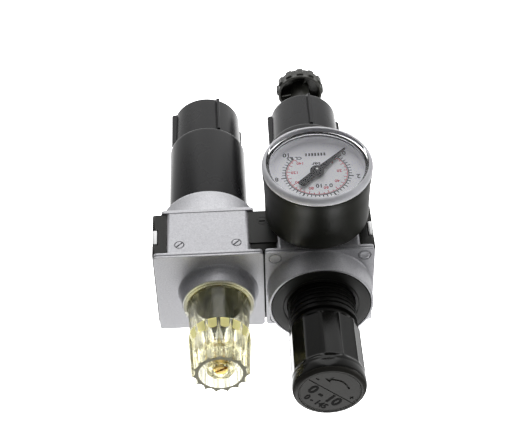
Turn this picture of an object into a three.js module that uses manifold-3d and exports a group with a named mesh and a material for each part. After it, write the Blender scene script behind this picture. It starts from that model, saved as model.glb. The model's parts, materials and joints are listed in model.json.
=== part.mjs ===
// Compressed-air maintenance unit: a filter-regulator with gauge, coupled to an oil-mist lubricator.
// Millimetres, +Z up. The gauge faces -Y and the air flows along +X.
// Origin: centre of the inlet port's mouth, on the left side of the filter-regulator.

import * as THREE from 'three';
import { mergeVertices } from 'three/addons/utils/BufferGeometryUtils.js';
import Module from 'manifold-3d';

const wasm = await Module();
wasm.setup();

// ---- driving dimensions -------------------------------------------------------------------
const GAP = 0.3; // clearance between neighbouring pieces

const MODULE_WIDTH = 50; // top plate, along X
const MODULE_DEPTH = 48; // top plate, along Y
const MODULE_PITCH = 50.8; // distance between the two module axes
const REGULATOR_X = MODULE_WIDTH / 2;
const LUBRICATOR_X = REGULATOR_X + MODULE_PITCH;
const OUTLET_X = LUBRICATOR_X + MODULE_WIDTH / 2;

const TOP = 16; // top plate's upper face
const PLATE_THICKNESS = 3.1;
const BLOCK_BOTTOM = TOP - 31.1;
const BLOCK_HALF_WIDTH = 21;
const PANEL_HALF_WIDTH = 18.1;
const PANEL_Y = 23.7; // front and back panels, from the module axis
const FLANGE_THICKNESS = 2;
const FLANGE_HALF_WIDTH = 21.6;
const COLLAR_END = TOP - 44.3; // lower end of the round skirt that takes the bowl
const COLLAR_RADIUS = 24;

const PORT_RADIUS = 5.9; // G1/4 thread, minor diameter
const PORT_DEPTH = 9;
const PORT_BOSS_RADIUS = 9;

const BOWL_STEP = TOP - 95.2;
const BOWL_END = TOP - 121.1;
const BOWL_RADIUS = 19.2;
const BOWL_TIP_RADIUS = 17.2;
const BOWL_WALL = 1.8;
const BOWL_RIBS = 4;
const RIB_WIDTH = 2;
const FILTER_RIB_TURN = -99; // degrees, first rib of each bowl, from +X
const OIL_RIB_TURN = -111;

const RING_TOP = TOP + 11.5; // regulator's round collar
const BONNET_THREAD_RADIUS = 15.5;
const THREAD_END = TOP + 24.7;
const KNOB_BOTTOM = TOP + 28.4;
const KNOB_GRIP_END = TOP + 54.6; // upper end of the fluted stretch
const KNOB_TOP = TOP + 61.8;
const KNOB_RADIUS = 16.3;
const KNOB_LOBES = 12;

const GAUGE_Z = TOP - 21.6; // gauge axis
const GAUGE_BACK = 26.4; // distances in front of the module axis
const GAUGE_FRONT = 59.3;
const GAUGE_RADIUS = 25;
const DIAL_FACE = 51.8;

const DRAIN_TOP = TOP - 141.8;
const DRAIN_RADIUS = 12.6;

const DOME_OFFSET = -3.67; // dome axis, from the lubricator's axis
const DOME_COLLAR_TOP = TOP + 8.6;
const DOME_RIDGE_START = TOP + 27.9;
const DOME_TOP = TOP + 48.85;
const DOME_RIDGES = 15;

const FINE = 32; // facets of large round pieces
const PLAIN = 18;
const COARSE = 12;

// ---- materials ----------------------------------------------------------------------------
const finish = (color, roughness, metalness) =>
  new THREE.MeshStandardMaterial({ color, roughness, metalness });
const clear = (color, opacity) =>
  new THREE.MeshStandardMaterial({ color, roughness: 0.1, metalness: 0, transparent: true, opacity });

const CASTING = finish(0xc0c0c6, 0.5, 0.3);
const BLACK_PLASTIC = finish(0x161616, 0.35, 0);
const BOWL_COAT = finish(0x3e3e40, 0.45, 0.2);
const GAUGE_BLACK = finish(0x2c2c28, 0.35, 0);
const STEEL = finish(0xc8c8c8, 0.3, 0.9);
const BRASS = finish(0xc9a24a, 0.3, 0.9);
const RUBBER = finish(0x101010, 0.8, 0);
const DIAL_WHITE = finish(0xf0eff6, 0.6, 0);
const FILTER_WHITE = finish(0xe4e2dc, 0.9, 0);
const DARK_PLASTIC = finish(0x3a3c3c, 0.5, 0);
const WINDOW = clear(0xffffff, 0.3);
const AMBER_CLEAR = clear(0xe9e6b0, 0.4);

// ---- geometry helpers ---------------------------------------------------------------------
// Merged, position-only copy without the zero-area triangles that axis points leave behind.
function welded(geometry) {
  const bare = geometry.clone();
  bare.deleteAttribute('normal');
  bare.deleteAttribute('uv');
  const merged = mergeVertices(bare, 1e-4);
  const source = merged.index.array;
  const kept = [];
  for (let i = 0; i < source.length; i += 3) {
    const [a, b, c] = [source[i], source[i + 1], source[i + 2]];
    if (a !== b && b !== c && c !== a) kept.push(a, b, c);
  }
  merged.setIndex(kept);
  return merged;
}

function solid(geometry) {
  const merged = welded(geometry);
  return new wasm.Manifold(new wasm.Mesh({
    numProp: 3,
    vertProperties: new Float32Array(merged.attributes.position.array),
    triVerts: new Uint32Array(merged.index.array),
  }));
}

function geometryOf(manifold) {
  const mesh = manifold.getMesh();
  const geometry = new THREE.BufferGeometry();
  geometry.setAttribute('position', new THREE.BufferAttribute(new Float32Array(mesh.vertProperties), 3));
  geometry.setIndex(Array.from(mesh.triVerts));
  geometry.computeVertexNormals();
  return geometry;
}

const joined = (...pieces) => pieces.map(solid).reduce((sum, piece) => sum.add(piece));
const cut = (base, ...tools) => tools.map(solid).reduce((left, tool) => left.subtract(tool), base);

// Turned piece about Z. The profile is a list of [radius, z] points, counter-clockwise.
function turned(profile, segments = PLAIN) {
  const points = profile.map(([r, z]) => new THREE.Vector2(r, z));
  const geometry = new THREE.LatheGeometry(points, segments);
  geometry.rotateX(Math.PI / 2);
  return geometry;
}

const disc = (radius, low, high, segments = PLAIN) =>
  turned([[0, low], [radius, low], [radius, high], [0, high]], segments);

const tube = (inner, outer, low, high, segments = PLAIN) =>
  turned([[inner, low], [outer, low], [outer, high], [inner, high], [inner, low]], segments);

function box(x0, x1, y0, y1, z0, z1) {
  const geometry = new THREE.BoxGeometry(x1 - x0, y1 - y0, z1 - z0);
  geometry.translate((x0 + x1) / 2, (y0 + y1) / 2, (z0 + z1) / 2);
  return geometry;
}

// Round bar along X or Y, between two coordinates of that axis.
function barX(radius, x0, x1, y, z, segments = PLAIN) {
  const geometry = disc(radius, x0, x1, segments);
  geometry.rotateY(Math.PI / 2);
  return geometry.translate(0, y, z);
}

function barY(radius, y0, y1, x, z, segments = PLAIN) {
  const geometry = disc(radius, -y1, -y0, segments);
  geometry.rotateX(Math.PI / 2);
  return geometry.translate(x, 0, z);
}

const barZ = (radius, z0, z1, x, y, segments = COARSE) => disc(radius, z0, z1, segments).translate(x, y, 0);

function prism(points, low, high) {
  const shape = new THREE.Shape(points.map(([x, y]) => new THREE.Vector2(x, y)));
  const geometry = new THREE.ExtrudeGeometry(shape, { depth: high - low, bevelEnabled: false });
  return geometry.translate(0, 0, low);
}

// Ring with a round section, lying flat: an O-ring.
function oRing(radius, section, z) {
  const around = 6;
  const profile = [];
  for (let i = 0; i <= around; i += 1) {
    const angle = (2 * Math.PI * i) / around;
    profile.push([radius + section * Math.cos(angle), z + section * Math.sin(angle)]);
  }
  return turned(profile, PLAIN);
}

class Helix extends THREE.Curve {
  constructor(radius, low, high, turns) {
    super();
    Object.assign(this, { radius, low, high, turns });
  }

  getPoint(t, target = new THREE.Vector3()) {
    const angle = 2 * Math.PI * this.turns * t;
    const height = this.low + (this.high - this.low) * t;
    return target.set(this.radius * Math.cos(angle), this.radius * Math.sin(angle), height);
  }
}

function coilSpring(radius, wire, low, high, turns) {
  const section = new THREE.Shape();
  section.absarc(0, 0, wire, 0, 2 * Math.PI, false);
  return new THREE.ExtrudeGeometry(section, {
    extrudePath: new Helix(radius, low + wire, high - wire, turns),
    steps: turns * 10,
    curveSegments: 3,
    bevelEnabled: false,
  });
}

// Outline with rounded lobes: the radius swings by depth, lobes times a turn.
function lobedOutline(radius, depth, lobes, perLobe, sharpness = 1) {
  const points = [];
  const count = lobes * perLobe;
  for (let i = 0; i < count; i += 1) {
    const angle = (2 * Math.PI * i) / count;
    const hollow = Math.abs(Math.sin((angle * lobes) / 2)) ** sharpness;
    const r = radius - depth * hollow;
    points.push([r * Math.cos(angle), r * Math.sin(angle)]);
  }
  return points;
}

// ---- scene graph --------------------------------------------------------------------------
const unit = new THREE.Group();
const regulator = new THREE.Group();
const gauge = new THREE.Group();
const lubricator = new THREE.Group();
const dome = new THREE.Group();
regulator.position.x = REGULATOR_X;
lubricator.position.x = LUBRICATOR_X;
dome.position.x = DOME_OFFSET;
gauge.position.z = GAUGE_Z;
gauge.rotation.x = Math.PI / 2; // the gauge is drawn with its face towards local +Z
regulator.add(gauge);
lubricator.add(dome);
unit.add(regulator, lubricator);

function place(group, name, material, shape) {
  const geometry = shape.isBufferGeometry ? welded(shape) : geometryOf(shape);
  if (shape.isBufferGeometry) geometry.computeVertexNormals();
  const mesh = new THREE.Mesh(geometry, material);
  mesh.name = name;
  group.add(mesh);
}

// ---- die-cast module block, shared by both modules ----------------------------------------
function modulePlate() {
  const [w, d, corner] = [MODULE_WIDTH / 2, MODULE_DEPTH / 2, 1.2];
  const outline = [
    [-w + corner, -d], [w - corner, -d], [w, -d + corner], [w, d - corner],
    [w - corner, d], [-w + corner, d], [-w, d - corner], [-w, -d + corner],
  ];
  return prism(outline, TOP - PLATE_THICKNESS, TOP);
}

function moduleBlock() {
  const [w, p, y] = [BLOCK_HALF_WIDTH, PANEL_HALF_WIDTH, PANEL_Y];
  const chamfer = w - p;
  const outline = [
    [-p, -y], [p, -y], [w, -y + chamfer], [w, y - chamfer],
    [p, y], [-p, y], [-w, y - chamfer], [-w, -y + chamfer],
  ];
  return prism(outline, BLOCK_BOTTOM, TOP - 1);
}

function roundSkirt() {
  const edge = 0.8;
  return turned([
    [0, COLLAR_END], [COLLAR_RADIUS - edge, COLLAR_END], [COLLAR_RADIUS, COLLAR_END + edge],
    [COLLAR_RADIUS, BLOCK_BOTTOM + 1], [0, BLOCK_BOTTOM + 1],
  ], FINE);
}

function moduleCasting(...extra) {
  const flange = box(-FLANGE_HALF_WIDTH, FLANGE_HALF_WIDTH, -PANEL_Y - 0.2, PANEL_Y + 0.2,
    BLOCK_BOTTOM, BLOCK_BOTTOM + FLANGE_THICKNESS);
  return joined(modulePlate(), moduleBlock(), flange, roundSkirt(), ...extra);
}

const BOWL_BORE = 17.8;
const BOWL_SHOULDER = TOP - 36;
const LOWER_CHAMBER_RADIUS = 16.5;
const LOWER_CHAMBER_TOP = -7.5;
const UPPER_CHAMBER_RADIUS = 5;
const VALVE_SEAT_RADIUS = 3.4;
const PASSAGE_RADIUS = 3; // drilled way between a port and its chamber
const BOSS_REACH = 24.4; // inner port bosses stop short of the neighbour's

// ---- filter-regulator body ----------------------------------------------------------------
const RING_OUTER = 24.2;
const RING_BORE = 23.2;
const RING_BORE_DEPTH = 3.5;
const DIAPHRAGM_SEAT_RADIUS = 21;
const DIAPHRAGM_CHAMBER_RADIUS = 17.5;
const DIAPHRAGM_SEAT = TOP + 4;
const PIN_SPACING = 20.4;
const PIN_RADIUS = 2.65;
const GAUGE_PORT_RADIUS = 4.9;
const GAUGE_PORT_DEPTH = 5.5;

function regulatorBody() {
  const ringCollar = turned([
    [0, TOP - 1], [RING_OUTER + 0.2, TOP - 1], [RING_OUTER + 0.2, TOP + 0.6], [RING_OUTER, RING_TOP - 0.5],
    [RING_OUTER - 0.4, RING_TOP], [0, RING_TOP],
  ], FINE);
  const inletBoss = barX(PORT_BOSS_RADIUS, -REGULATOR_X, -BLOCK_HALF_WIDTH + 1, 0, 0);
  const outletBoss = barX(PORT_BOSS_RADIUS, BLOCK_HALF_WIDTH - 1, BOSS_REACH, 0, 0);
  const pinHoles = pinPlaces().map(([x, y]) => barZ(PIN_RADIUS + GAP, TOP - 2.6, TOP + 1, x, y));
  return cut(
    moduleCasting(ringCollar, inletBoss, outletBoss),
    disc(BOWL_BORE, COLLAR_END - 1, BOWL_SHOULDER, FINE),
    disc(LOWER_CHAMBER_RADIUS, BOWL_SHOULDER - 1, LOWER_CHAMBER_TOP, PLAIN),
    disc(VALVE_SEAT_RADIUS, LOWER_CHAMBER_TOP - 1, TOP + 1, COARSE),
    disc(UPPER_CHAMBER_RADIUS, LOWER_CHAMBER_TOP + 4.1, TOP + 1, COARSE),
    disc(DIAPHRAGM_CHAMBER_RADIUS, TOP, DIAPHRAGM_SEAT + 1, FINE),
    disc(DIAPHRAGM_SEAT_RADIUS, DIAPHRAGM_SEAT, RING_TOP - 2, FINE),
    disc(RING_BORE, RING_TOP - RING_BORE_DEPTH, RING_TOP + 1, FINE),
    barX(PORT_RADIUS, -REGULATOR_X - 1, -REGULATOR_X + PORT_DEPTH, 0, 0),
    barZ(PASSAGE_RADIUS, LOWER_CHAMBER_TOP - 4.5, 0, -REGULATOR_X + PORT_DEPTH - 3.5, 0),
    barX(PORT_RADIUS, BOSS_REACH - PORT_DEPTH, BOSS_REACH + 1, 0, 0),
    barX(PASSAGE_RADIUS, 3, BOSS_REACH - PORT_DEPTH + 1, 0, 0, COARSE),
    barY(GAUGE_PORT_RADIUS, -PANEL_Y - 1, -PANEL_Y + GAUGE_PORT_DEPTH, 0, GAUGE_Z, COARSE),
    barZ(1, GAUGE_Z, DIAPHRAGM_SEAT + 1, 0, -PANEL_Y + GAUGE_PORT_DEPTH - 1.2, 8),
    ...pinHoles,
  );
}

function pinPlaces() {
  const s = PIN_SPACING;
  return [[-s, -s], [s, -s], [-s, s], [s, s]];
}

place(regulator, 'regulator_body', CASTING, regulatorBody());
pinPlaces().forEach(([x, y], i) => {
  place(regulator, `plate_pin_${i + 1}`, CASTING, barZ(PIN_RADIUS, TOP - 2.3, TOP, x, y));
});

// ---- diaphragm, bonnet and adjusting knob -------------------------------------------------
const DIAPHRAGM_Z = DIAPHRAGM_SEAT + GAP;
const PLATE_Z = DIAPHRAGM_Z + 1.6;
const BONNET_FOOT = DIAPHRAGM_Z + 1.3;
const SPRING_TOP = TOP + 24.2;
const NUT_HEIGHT = 5;
const CROWN_LOW = TOP + 33; // underside of the bonnet's crown
const CROWN_HIGH = CROWN_LOW + 3.5;
const SPINDLE_RADIUS = 2.8;
const SPINDLE_HEX = 4.4; // across corners, halved
const KNOB_BORE = 14.9;
const KNOB_CEILING = TOP + 50;
const SOCKET_RADIUS = 5;
const KNOB_DISC_RADIUS = 13.6;

place(regulator, 'diaphragm', RUBBER, turned([
  [0, DIAPHRAGM_Z], [15.5, DIAPHRAGM_Z], [20.7, DIAPHRAGM_Z], [20.7, DIAPHRAGM_Z + 1],
  [15.5, DIAPHRAGM_Z + 1], [13.2, DIAPHRAGM_Z + 1], [0, DIAPHRAGM_Z + 1],
], FINE));

place(regulator, 'diaphragm_plate', STEEL, turned([
  [0, PLATE_Z], [12.4, PLATE_Z], [12.4, PLATE_Z + 1.2], [6, PLATE_Z + 1.2], [6, PLATE_Z + 3],
  [3.4, PLATE_Z + 3], [3.4, PLATE_Z + 1.2], [0, PLATE_Z + 1.2],
]));

place(regulator, 'bonnet', BLACK_PLASTIC, turned([
  [13.2, BONNET_FOOT], [20.6, BONNET_FOOT], [20.6, RING_TOP - 4], [BONNET_THREAD_RADIUS - 0.3, RING_TOP - 4],
  [BONNET_THREAD_RADIUS, RING_TOP], [BONNET_THREAD_RADIUS, THREAD_END], [14.3, THREAD_END + 0.8],
  [14.3, CROWN_LOW], [13.2, CROWN_HIGH], [SPINDLE_RADIUS + 0.6, CROWN_HIGH],
  [SPINDLE_RADIUS + 0.6, CROWN_LOW], [11.4, CROWN_LOW], [11.4, BONNET_FOOT + 4.5], [13.2, BONNET_FOOT + 3],
  [13.2, BONNET_FOOT],
], FINE));

place(regulator, 'lock_ring', DARK_PLASTIC, turned([
  [15.9, RING_TOP - 3.2], [RING_BORE - GAP, RING_TOP - 3.2], [RING_BORE - GAP, RING_TOP - 0.3],
  [RING_BORE - 0.7, RING_TOP], [16.4, RING_TOP], [15.9, RING_TOP - 0.5], [15.9, RING_TOP - 3.2],
], FINE));

place(regulator, 'adjusting_spindle', STEEL, (() => {
  const hexagon = prism(lobedOutline(SPINDLE_HEX, 0, 6, 1), CROWN_HIGH + 2, KNOB_CEILING - 4);
  return joined(turned([
    [0, TOP + 11], [SPINDLE_RADIUS, TOP + 11.5], [SPINDLE_RADIUS, CROWN_LOW - 2], [7, CROWN_LOW - 2],
    [7, CROWN_LOW - GAP], [SPINDLE_RADIUS, CROWN_LOW - GAP], [SPINDLE_RADIUS, CROWN_HIGH + 3],
    [0, CROWN_HIGH + 3],
  ], COARSE), hexagon);
})());

place(regulator, 'spring_nut', BRASS, tube(
  SPINDLE_RADIUS + 0.4, 10.9, SPRING_TOP + GAP, SPRING_TOP + GAP + NUT_HEIGHT));

place(regulator, 'regulating_spring', STEEL, coilSpring(8.6, 1.1, PLATE_Z + 1.5, SPRING_TOP, 5));

function adjustingKnob() {
  const grip = prism(lobedOutline(KNOB_RADIUS, 0.7, KNOB_LOBES, 4, 0.6), KNOB_BOTTOM, KNOB_GRIP_END);
  const rim = turned([
    [0, KNOB_GRIP_END - 0.4], [KNOB_RADIUS, KNOB_GRIP_END - 0.4], [KNOB_RADIUS + 0.1, KNOB_TOP - 2.4],
    [KNOB_RADIUS - 0.5, KNOB_TOP - 0.9], [KNOB_RADIUS - 1.6, KNOB_TOP], [0, KNOB_TOP],
  ], FINE);
  const hexSocket = prism(lobedOutline(SPINDLE_HEX + GAP + 0.05, 0, 6, 1), KNOB_CEILING - 12, KNOB_CEILING - 2);
  const hub = disc(SOCKET_RADIUS + 2.5, CROWN_HIGH + 1, KNOB_CEILING + 1);
  const hollow = disc(KNOB_BORE, KNOB_BOTTOM - 1, KNOB_CEILING, FINE);
  const discSeat = disc(KNOB_DISC_RADIUS + GAP, KNOB_TOP - 1.9, KNOB_TOP + 1, FINE);
  const shell = joined(grip, rim).subtract(solid(hollow)).subtract(solid(discSeat));
  return cut(shell.add(solid(hub)), hexSocket, disc(SOCKET_RADIUS, CROWN_HIGH, KNOB_CEILING - 11.9));
}

place(regulator, 'adjusting_knob', BLACK_PLASTIC, adjustingKnob());
place(regulator, 'knob_disc', BLACK_PLASTIC, disc(KNOB_DISC_RADIUS, KNOB_TOP - 1.6, KNOB_TOP - 0.2, FINE));

// ---- valve and filter ---------------------------------------------------------------------
const POPPET_TOP = LOWER_CHAMBER_TOP - GAP;
const GUIDE_BOTTOM = BOWL_SHOULDER + 2;
const ELEMENT_TOP = GUIDE_BOTTOM - 2.3;
const ELEMENT_BOTTOM = ELEMENT_TOP - 29;

place(regulator, 'valve_stem', BRASS, turned([
  [0, GUIDE_BOTTOM - 1.2], [1.2, GUIDE_BOTTOM - 1.2], [1.2, POPPET_TOP - 2.5], [4.8, POPPET_TOP - 2.5],
  [4.8, POPPET_TOP], [1.2, POPPET_TOP], [1.2, DIAPHRAGM_Z - GAP], [0, DIAPHRAGM_Z - GAP],
], COARSE));

place(regulator, 'valve_spring', STEEL, coilSpring(3.3, 0.4, GUIDE_BOTTOM + 1.8, POPPET_TOP - 2.8, 4));

place(regulator, 'valve_guide', DARK_PLASTIC, turned([
  [1.6, GUIDE_BOTTOM], [7.4, GUIDE_BOTTOM], [7.4, LOWER_CHAMBER_TOP - 1.5], [6.2, LOWER_CHAMBER_TOP - 1.5],
  [6.2, GUIDE_BOTTOM + 1.5], [1.6, GUIDE_BOTTOM + 1.5], [1.6, GUIDE_BOTTOM],
]));

function swirlDeflector() {
  const hub = tube(7.8, 9.4, GUIDE_BOTTOM - 1.8, GUIDE_BOTTOM + 2.4);
  const vanes = [];
  for (let i = 0; i < 12; i += 1) {
    const vane = box(9, 15.8, -0.6, 0.6, -1.9, 1.9);
    vane.rotateX(THREE.MathUtils.degToRad(35));
    vane.translate(0, 0, GUIDE_BOTTOM + 0.4);
    vane.rotateZ((2 * Math.PI * i) / 12);
    vanes.push(vane);
  }
  return joined(hub, ...vanes);
}

place(regulator, 'swirl_deflector', DARK_PLASTIC, swirlDeflector());
place(regulator, 'filter_element', FILTER_WHITE, tube(8, 11, ELEMENT_BOTTOM, ELEMENT_TOP));
place(regulator, 'filter_bolt', DARK_PLASTIC, turned([
  [0, ELEMENT_BOTTOM - 5], [3.4, ELEMENT_BOTTOM - 5], [3.4, ELEMENT_BOTTOM - 2.6],
  [2, ELEMENT_BOTTOM - 2.6], [2, ELEMENT_TOP + 0.2], [0, ELEMENT_TOP + 0.2],
], COARSE));
place(regulator, 'baffle', DARK_PLASTIC, turned([
  [2.3, ELEMENT_BOTTOM - 2.3], [11, ELEMENT_BOTTOM - 2.3], [14.4, ELEMENT_BOTTOM - 4.5],
  [14.8, ELEMENT_BOTTOM - 3.6], [11.4, ELEMENT_BOTTOM - GAP], [2.3, ELEMENT_BOTTOM - GAP],
  [2.3, ELEMENT_BOTTOM - 2.3],
]));

// ---- bowls --------------------------------------------------------------------------------
const BOWL_NECK_TOP = BOWL_SHOULDER - 2.6;
const BOWL_FLOOR = BOWL_END + 2.6;
const DRAIN_BORE = 3.4;
const SPOUT_END = BOWL_END - 7;
const SPOUT_RADIUS = 6.2;

// Outer profile from the tip up to the neck; the inner one comes back down.
function bowlWall() {
  const inner = BOWL_RADIUS - BOWL_WALL;
  return [
    [BOWL_TIP_RADIUS - 1, BOWL_END], [BOWL_TIP_RADIUS, BOWL_END + 1], [BOWL_TIP_RADIUS + 0.4, BOWL_STEP - 1.6],
    [BOWL_RADIUS - 0.1, BOWL_STEP], [BOWL_RADIUS, COLLAR_END - GAP], [BOWL_BORE - GAP, COLLAR_END - GAP],
    [BOWL_BORE - GAP, BOWL_NECK_TOP], [inner - 1.6, BOWL_NECK_TOP], [inner - 1.6, COLLAR_END - 4],
    [inner, COLLAR_END - 6], [inner, BOWL_STEP + 1], [BOWL_TIP_RADIUS - BOWL_WALL, BOWL_STEP - 2],
    [BOWL_TIP_RADIUS - BOWL_WALL - 0.3, BOWL_FLOOR + 2], [BOWL_TIP_RADIUS - BOWL_WALL - 2, BOWL_FLOOR],
  ];
}

// Upright grip ribs on the bowl's narrow end; firstTurn is the first rib's direction in degrees.
function ribs(firstTurn) {
  const list = [];
  for (let i = 0; i < BOWL_RIBS; i += 1) {
    const rib = box(BOWL_TIP_RADIUS - 1, BOWL_RADIUS - 0.15, -RIB_WIDTH / 2, RIB_WIDTH / 2,
      BOWL_END + 0.9, BOWL_STEP + 0.4);
    rib.rotateZ(THREE.MathUtils.degToRad(firstTurn + (360 * i) / BOWL_RIBS));
    list.push(rib);
  }
  return list;
}

function filterBowl() {
  const shell = turned([
    [DRAIN_BORE, SPOUT_END], [SPOUT_RADIUS, SPOUT_END], [SPOUT_RADIUS, BOWL_END], ...bowlWall(),
    [DRAIN_BORE, BOWL_FLOOR], [DRAIN_BORE, SPOUT_END],
  ], FINE);
  return joined(shell, ...ribs(FILTER_RIB_TURN));
}

function oilBowl() {
  const shell = turned([[0, BOWL_END], ...bowlWall(), [0, BOWL_FLOOR]], FINE);
  return joined(shell, ...ribs(OIL_RIB_TURN));
}

place(regulator, 'filter_bowl', BOWL_COAT, filterBowl());
place(regulator, 'filter_bowl_seal', RUBBER, oRing(16.4, 0.9, BOWL_SHOULDER - 1.2));

// ---- drain --------------------------------------------------------------------------------
// The stem's head closes the spout from below. Unscrewing the knob lets the stem down.
const DRAIN_LENGTH = 6.5;
const DRAIN_END = DRAIN_TOP - DRAIN_LENGTH;
const DRAIN_LOBES = 12;
const SLEEVE_RADIUS = 5;
const SLEEVE_BORE = 2.9;
const STEM_RADIUS = 2.2;
const STEM_HEAD_RADIUS = 3.8;
const STEM_TOP = SPOUT_END - GAP;
const HEAD_ROOM = 3.3; // depth of the sleeve's wide mouth, for the head's travel

place(regulator, 'drain_stem', DARK_PLASTIC, turned([
  [0, DRAIN_END + 1.5], [STEM_RADIUS, DRAIN_END + 1.5], [STEM_RADIUS, STEM_TOP - 1.2],
  [STEM_HEAD_RADIUS, STEM_TOP - 1.2], [STEM_HEAD_RADIUS, STEM_TOP], [0, STEM_TOP],
]));
// Rubber slit valve in the spout, held shut by the stem's head; the slit is closed at rest.
place(regulator, 'drain_seal', RUBBER, disc(DRAIN_BORE - GAP, SPOUT_END + 0.4, SPOUT_END + 2));

function drainKnob() {
  const rim = prism(lobedOutline(DRAIN_RADIUS, 0.9, DRAIN_LOBES, 4, 2), DRAIN_END, DRAIN_TOP - 1.4);
  const lip = disc(DRAIN_RADIUS - 0.7, DRAIN_TOP - 2, DRAIN_TOP, FINE);
  const hollow = disc(DRAIN_RADIUS - 2.4, DRAIN_END + 1.6, DRAIN_TOP + 1, FINE);
  const sleeve = disc(SLEEVE_RADIUS, DRAIN_END + 1, STEM_TOP);
  return cut(cut(joined(rim, lip), hollow).add(solid(sleeve)),
    disc(SLEEVE_BORE, DRAIN_END - 1, STEM_TOP + 1),
    disc(STEM_HEAD_RADIUS + GAP, STEM_TOP - HEAD_ROOM, STEM_TOP + 1));
}

place(regulator, 'drain_knob', DARK_PLASTIC, drainKnob());

// ---- gauge --------------------------------------------------------------------------------
const CASE_INNER = 22.7;
const DIAL_BACK = DIAL_FACE - 0.8;
const SOCKET_HEX = 7.6;
const TUBE_Z = 40;

place(gauge, 'gauge_case', GAUGE_BLACK, turned([
  [SOCKET_HEX + 0.6, GAUGE_BACK], [23, GAUGE_BACK], [23.9, GAUGE_BACK + 1], [24.2, 50], [24.8, 55.2],
  [CASE_INNER, 55.2], [CASE_INNER, GAUGE_BACK + 2.2], [SOCKET_HEX + 0.6, GAUGE_BACK + 2.2],
  [SOCKET_HEX + 0.6, GAUGE_BACK],
], FINE));

place(gauge, 'gauge_window', WINDOW, turned([
  [0, 56.6], [22, 56.6], [22.4, 54.4], [CASE_INNER - GAP, 54.4], [CASE_INNER - GAP, 55.5],
  [GAUGE_RADIUS, 55.5], [GAUGE_RADIUS, GAUGE_FRONT - 1.2], [24.2, GAUGE_FRONT], [23, GAUGE_FRONT],
  [22.2, 57.9], [0, 57.9],
], FINE));

place(gauge, 'gauge_dial', DIAL_WHITE, tube(1.3, 22.2, DIAL_BACK, DIAL_FACE, FINE));

const POINTER_ZERO = 226.8; // degrees, from the gauge's local +X
const POINTER_LENGTH = 20.2;
const POINTER_TAIL = 11.8;

function pointer() {
  const blade = prism([
    [-POINTER_TAIL, -1.5], [0, -1.3], [POINTER_LENGTH, -0.4], [POINTER_LENGTH, 0.4], [0, 1.3], [-POINTER_TAIL, 1.5],
  ], 53, 53.7);
  return joined(blade, disc(3.2, 52.7, 54.4)).rotate([0, 0, POINTER_ZERO]);
}

place(gauge, 'gauge_pointer', DARK_PLASTIC, pointer());
place(gauge, 'pointer_shaft', STEEL, disc(0.8, 36.4, 52.4, COARSE));
place(gauge, 'gauge_movement', BRASS, cut(
  joined(box(-8, 8, -5, 5, 36, 37), box(-8, 8, -5, 5, 44, 45), barZ(1, 36.5, 44.5, -6.5, 3.5),
    barZ(1, 36.5, 44.5, 6.5, 3.5), box(-2, 2, -5, -3.6, 36.5, 44.5)),
  disc(1.1, 35, 46, COARSE)));

function bourdonTube() {
  const [outer, inner] = [19, 17.2];
  const [from, to] = [-0.42 * Math.PI, 0.95 * Math.PI];
  const shape = new THREE.Shape();
  shape.absarc(0, 0, outer, from, to, false);
  shape.absarc(0, 0, inner, to, from, true);
  shape.closePath();
  return new THREE.ExtrudeGeometry(shape, { depth: 5, bevelEnabled: false, curveSegments: 20 })
    .translate(0, 0, TUBE_Z - 2.5);
}

place(gauge, 'bourdon_tube', BRASS, bourdonTube());
place(gauge, 'gauge_link', STEEL, box(-16.8, -8.3, 2.6, 3.6, TUBE_Z - 0.4, TUBE_Z + 0.4));

function gaugeSocket() {
  const stem = disc(GAUGE_PORT_RADIUS - GAP, PANEL_Y - GAUGE_PORT_DEPTH + GAP, PANEL_Y + 1, COARSE);
  const hexagon = prism(lobedOutline(SOCKET_HEX, 0, 6, 1), PANEL_Y + GAP, 30);
  const foot = box(-4, 4, -16.6, 2, 29, 34.5);
  const arm = box(-4, 4, -16.8, -12, 34, 43);
  return cut(joined(stem, hexagon, foot, arm), disc(1.5, 15, 31, 12));
}

place(gauge, 'gauge_socket', BRASS, gaugeSocket());

// ---- lubricator body ----------------------------------------------------------------------
const DOME_BORE = 14;
const DOME_SEAT = TOP + 1;
const PLUG_SPACING = 13.1;
const PLUG_Z = TOP - 8.4;
const PLUG_RADIUS = 2;
const PLUG_LENGTH = 7;
const SIPHON_X = 9;

function lubricatorBody() {
  const domeCollar = turned([
    [0, TOP - 1], [18.6, TOP - 1], [18.2, TOP + 0.3], [17.2, TOP + 1.8], [16.9, DOME_COLLAR_TOP - 0.4],
    [16.5, DOME_COLLAR_TOP], [0, DOME_COLLAR_TOP],
  ], FINE).translate(DOME_OFFSET, 0, 0);
  const inletBoss = barX(PORT_BOSS_RADIUS, -BOSS_REACH, -BLOCK_HALF_WIDTH + 1, 0, 0);
  const outletBoss = barX(PORT_BOSS_RADIUS, BLOCK_HALF_WIDTH - 1, MODULE_WIDTH / 2, 0, 0);
  const plugHoles = [-1, 1].map((side) => barY(PLUG_RADIUS + GAP, -PANEL_Y - 1, -PANEL_Y + PLUG_LENGTH + GAP,
    side * PLUG_SPACING, PLUG_Z, COARSE));
  return cut(
    moduleCasting(domeCollar, inletBoss, outletBoss),
    disc(BOWL_BORE, COLLAR_END - 1, BOWL_SHOULDER, FINE),
    disc(LOWER_CHAMBER_RADIUS, BOWL_SHOULDER - 1, LOWER_CHAMBER_TOP - 2, PLAIN),
    barX(PORT_RADIUS, -BOSS_REACH - 1, MODULE_WIDTH / 2 + 1, 0, 0),
    disc(DOME_BORE, DOME_SEAT, DOME_COLLAR_TOP + 1, FINE).translate(DOME_OFFSET, 0, 0),
    disc(2.2, 0, DOME_SEAT + 1, COARSE).translate(DOME_OFFSET, 0, 0),
    barZ(2, LOWER_CHAMBER_TOP - 3, DOME_SEAT + 1, DOME_OFFSET, -9.4),
    ...plugHoles,
  );
}

place(lubricator, 'lubricator_body', CASTING, lubricatorBody());

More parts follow.
